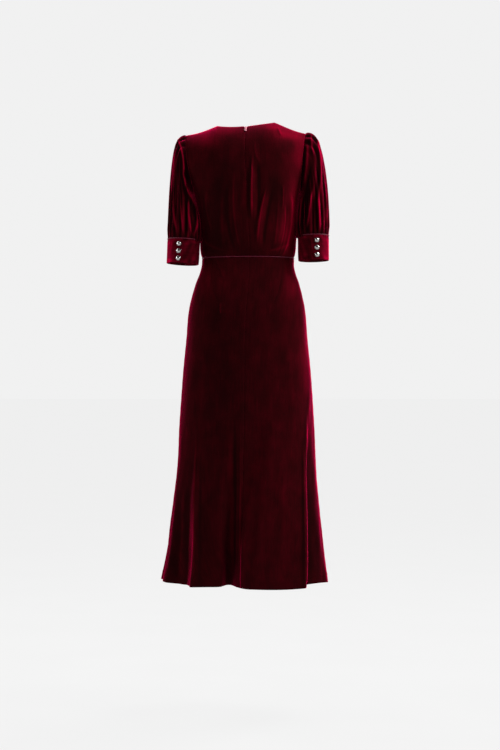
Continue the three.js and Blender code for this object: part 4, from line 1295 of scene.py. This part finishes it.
def zip_coil():
    """The coil on the tape's reverse: a tooth every 2.4 mm on each side, a small six-sided loop of nylon."""
    points, out = zip_line(int(538 / COIL_PITCH) * 2)
    side = np.where(np.arange(len(points)) % 2 == 0, 1.0, -1.0)
    ring = np.stack(cos_sin(np.arange(6) * 60), -1) * (2.1, 0.55)
    corners = []
    for thick in (-0.5, 0.5):
        x = side[:, None] * 1.3 + ring[None, :, 0]
        inwards = SOLID_CLOTH + 1.9 + ring[None, :, 1]
        corner = points[:, None] - out[:, None] * inwards[..., None]
        corner = corner + np.array((1, 0, 0)) * x[..., None] + np.array((0, 0, 1)) * thick
        corners.append(corner)
    teeth = np.stack(corners, 1)
    count = len(points)
    base = np.arange(count)[:, None] * 12
    sides = np.stack([np.array((m, (m + 1) % 6, 6 + (m + 1) % 6, 6 + m)) for m in range(6)])
    walls = (base[:, None] + sides[None]).reshape(-1, 4)
    ends = np.concatenate((base + np.array((5, 4, 3, 2, 1, 0)), base + np.array((6, 7, 8, 9, 10, 11))))
    mesh = bpy.data.meshes.new("coil_zip")
    mesh.from_pydata((teeth.reshape(-1, 3) * MM).tolist(), [], walls.tolist() + ends.tolist())
    mesh.uv_layers.new(name="UVMap")
    obj = in_scene("coil_zip", mesh)
    obj.data.materials.append(tape)
    finish_piece(obj, None)


def zip_frame():
    """The zip's own frame at the slider: its middle, across, up along the cloth and out of it."""
    at = bodice(np.array(0.0), np.array(NECK_BACK - 6.0))
    below = bodice(np.array(0.0), np.array(NECK_BACK - 14.0))
    top = bodice(np.array(0.0), np.array(float(NECK_BACK)))
    up = unit((top - below) * (0, 1, 1))
    out = unit(np.cross((1, 0, 0), up))
    out = out * np.sign(out[1])
    middle = np.array((at[0], top[1], top[2])) - up * 9
    return middle, np.array((-1.0, 0, 0)), up, out


def ring_plate(outline, hole, thick):
    """A plate with a hole: at each turn its section is a rounded box from the hole's edge to the outline."""
    c, s = cos_sin(np.linspace(0, 360, 29)[None, :])
    share = 0.5 + 0.5 * squared_off(c, 0.5)
    high = thick / 2 * squared_off(s, 0.5)
    flat = mix(hole[:, None], outline[:, None], share[..., None])
    return np.concatenate((flat, high[..., None] + 0 * flat[..., :1]), -1)


def in_frame(points, middle, across, up, out):
    """Points of a plate in the zip's frame: x runs across, y up along the cloth and z out of it."""
    return middle + points[..., :1] * across + points[..., 1:2] * up + points[..., 2:] * out


def slider_piece():
    """The slider: a wedge with rounded edges, and the bridge that the pull tab hangs on."""
    middle, across, up, out = zip_frame()
    y = np.linspace(-SLIDER_HALF, SLIDER_HALF, 33)
    end = np.abs(y) / (SLIDER_HALF + 0.01)
    width = mix(1.15, 2.25, (y + SLIDER_HALF) / (2 * SLIDER_HALF)) * np.sqrt(np.clip(1 - end**10, 0, 1))
    c, s = cos_sin(np.linspace(0, 360, 29)[None, :])
    x = width[:, None] * squared_off(c, 0.5)
    z = -0.35 + 1.5 * squared_off(s, 0.55) * np.sqrt(np.clip(1 - end**8, 0, 1))[:, None]
    body = np.stack((x, y[:, None] + 0 * x, z), -1)
    closed_piece("slider_body", in_frame(body, middle, across, up, out), zip_metal, "zip_slider")
    c, s = cos_sin(np.linspace(0, 360, 49)[:-1])
    path = np.stack((0 * c, BRIDGE_UP + BRIDGE_RADIUS * c, BRIDGE_OUT + BRIDGE_RADIUS * s), -1)
    ring = in_frame(path, middle, across, up, out)
    centre = in_frame(np.array((0, BRIDGE_UP, BRIDGE_OUT)), middle, across, up, out)
    closed_piece("slider_bridge", tube(ring, ring - centre, 0.33, True), zip_metal, None)


def pull_tab_piece():
    """The pull tab: a long plate, wider at its round foot, with a window that the bridge passes through."""
    middle, across, up, out = zip_frame()
    hinge = middle + up * BRIDGE_UP + out * BRIDGE_OUT
    c, s = cos_sin(TAB_LEAN)
    up, out = up * c + out * s, out * c - up * s
    hole_middle = np.array((0, -2.1))
    direction = np.stack(cos_sin(np.linspace(0, 360, 145)), -1)
    hole = direction / np.maximum(np.abs(direction[:, 0]) / 1.2, np.abs(direction[:, 1]) / 1.6)[:, None]
    reach = np.linspace(0.2, TAB_LONG, 1200)[None, :]
    x = direction[:, :1] * reach
    y = hole_middle[1] + direction[:, 1:] * reach
    taper = mix(2.2, 3, np.clip((-y - 4.2) / 12.8, 0, 1))
    half = taper * np.sqrt(np.clip(1 - ((-y - 17) / 3).clip(0) ** 2, 0, 1))
    inside = (np.abs(x) < half) & (y < 0.5) & (y > -TAB_LONG)
    edge = np.where(inside, reach, 0).max(1)
    outline = hole_middle + direction * edge[:, None]
    plate = ring_plate(outline, hole_middle + hole, 0.96)
    plate[..., 2] += 0.12 * bell(plate[..., 0], 1.2) * np.sign(plate[..., 2]) * smooth(-5, -8, plate[..., 1])
    placed = in_frame(plate, hinge, across, up, out)
    closed_piece("pull_tab_plate", placed, zip_metal, "zip_pull_tab", "pull_tab")


zip_tape_piece()
zip_coil()
slider_piece()
pull_tab_piece()


# Floor, light and camera

FLOOR_Z = -1.61
WHITE = 0.879
FLOOR_GLOW = 0.853


def floor():
    """A wide pale floor under the dress, matte with a trace of dust."""
    mesh = bpy.data.meshes.new("studio_floor")
    half = 60
    corners = [(-half, -half, FLOOR_Z), (half, -half, FLOOR_Z), (half, half, FLOOR_Z), (-half, half, FLOOR_Z)]
    mesh.from_pydata(corners, [], [(0, 1, 2, 3)])
    obj = in_scene("studio_floor", mesh)
    material, tree, shader = new_material(
        "studio_floor",
        Specular_IOR_Level=0.0,
        Emission_Color=(1, 1, 1, 1),
        Emission_Strength=FLOOR_GLOW,
    )
    place = node(tree, "ShaderNodeTexCoord").outputs["Object"]
    dust = noise(tree, place, 3.0, 3.0)
    tree.links.new(colour_between(tree, dust, 0.3, 0.7, (0.02, 0.02, 0.02), (0.024, 0.024, 0.024)),
                   shader.inputs["Base Color"])
    shader.inputs["Roughness"].default_value = 0.9
    obj.data.materials.append(material)
    obj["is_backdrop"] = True


def softbox(name, place, aim, size, power):
    """A square soft light at a place, turned to its aim."""
    light = bpy.data.lights.new(name, "AREA")
    light.shape = "SQUARE"
    light.size = size
    light.energy = power
    obj = in_scene(name, light)
    obj.location = place
    towards = np.array(aim, float) - np.array(place, float)
    obj.rotation_euler = mathutils.Vector(towards).to_track_quat("-Z", "Y").to_euler()


def studio():
    """Pale surroundings, darker behind the camera and on its left, with a key light, a fill and two rims."""
    world = bpy.data.worlds.new("studio")
    bpy.context.scene.world = world
    world.use_nodes = True
    tree = world.node_tree
    tree.nodes.clear()
    out = tree.nodes.new("ShaderNodeOutputWorld")
    seen = node(tree, "ShaderNodeBackground", (("Color", (WHITE, WHITE, WHITE, 1)), ("Strength", 1.0)))
    direction = node(tree, "ShaderNodeTexCoord").outputs["Generated"]
    parts = node(tree, "ShaderNodeSeparateXYZ", ((0, direction),)).outputs
    nearer = arithmetic(tree, "ADD", parts[1], arithmetic(tree, "MULTIPLY", parts[0], 0.45))
    ramp = node(tree, "ShaderNodeMapRange", ((0, nearer), (1, -0.25), (2, 0.6), (3, 0.66), (4, 0.04)))
    lit = node(tree, "ShaderNodeBackground", (("Color", (1, 1, 1, 1)), ("Strength", ramp.outputs[0])))
    path = tree.nodes.new("ShaderNodeLightPath")
    mixed = node(tree, "ShaderNodeMixShader", ((0, path.outputs["Is Camera Ray"]),))
    tree.links.new(lit.outputs[0], mixed.inputs[1])
    tree.links.new(seen.outputs[0], mixed.inputs[2])
    tree.links.new(mixed.outputs[0], out.inputs[0])
    softbox("key", (-3.2, 0.9, 1.6), (0, 0, -0.6), 1.4, 170)
    softbox("rim", (-1.2, -1.0, 2.6), (0, 0, -0.3), 1.2, 230)
    softbox("rim_left", (1.8, -1.4, 1.8), (0, 0, -0.3), 1.2, 70)
    softbox("fill", (3.4, 0.8, 0.4), (0, 0, -0.7), 1.6, 60)
    bpy.context.scene.view_settings.view_transform = "Standard"


def camera():
    """The camera behind the dress, level, at the photograph's angle and frame."""
    lens = bpy.data.cameras.new("camera")
    lens.sensor_fit = "VERTICAL"
    lens.sensor_height = 36
    lens.lens = 80.3
    obj = in_scene("camera", lens)
    obj.location = (-0.00825, 4.6, -0.689)
    obj.rotation_euler = (np.pi / 2, 0, np.pi)
    bpy.context.scene.camera = obj


floor()
studio()
camera()

sizes = {"cad": cad_box, "visual": [list(corner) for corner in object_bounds()]}
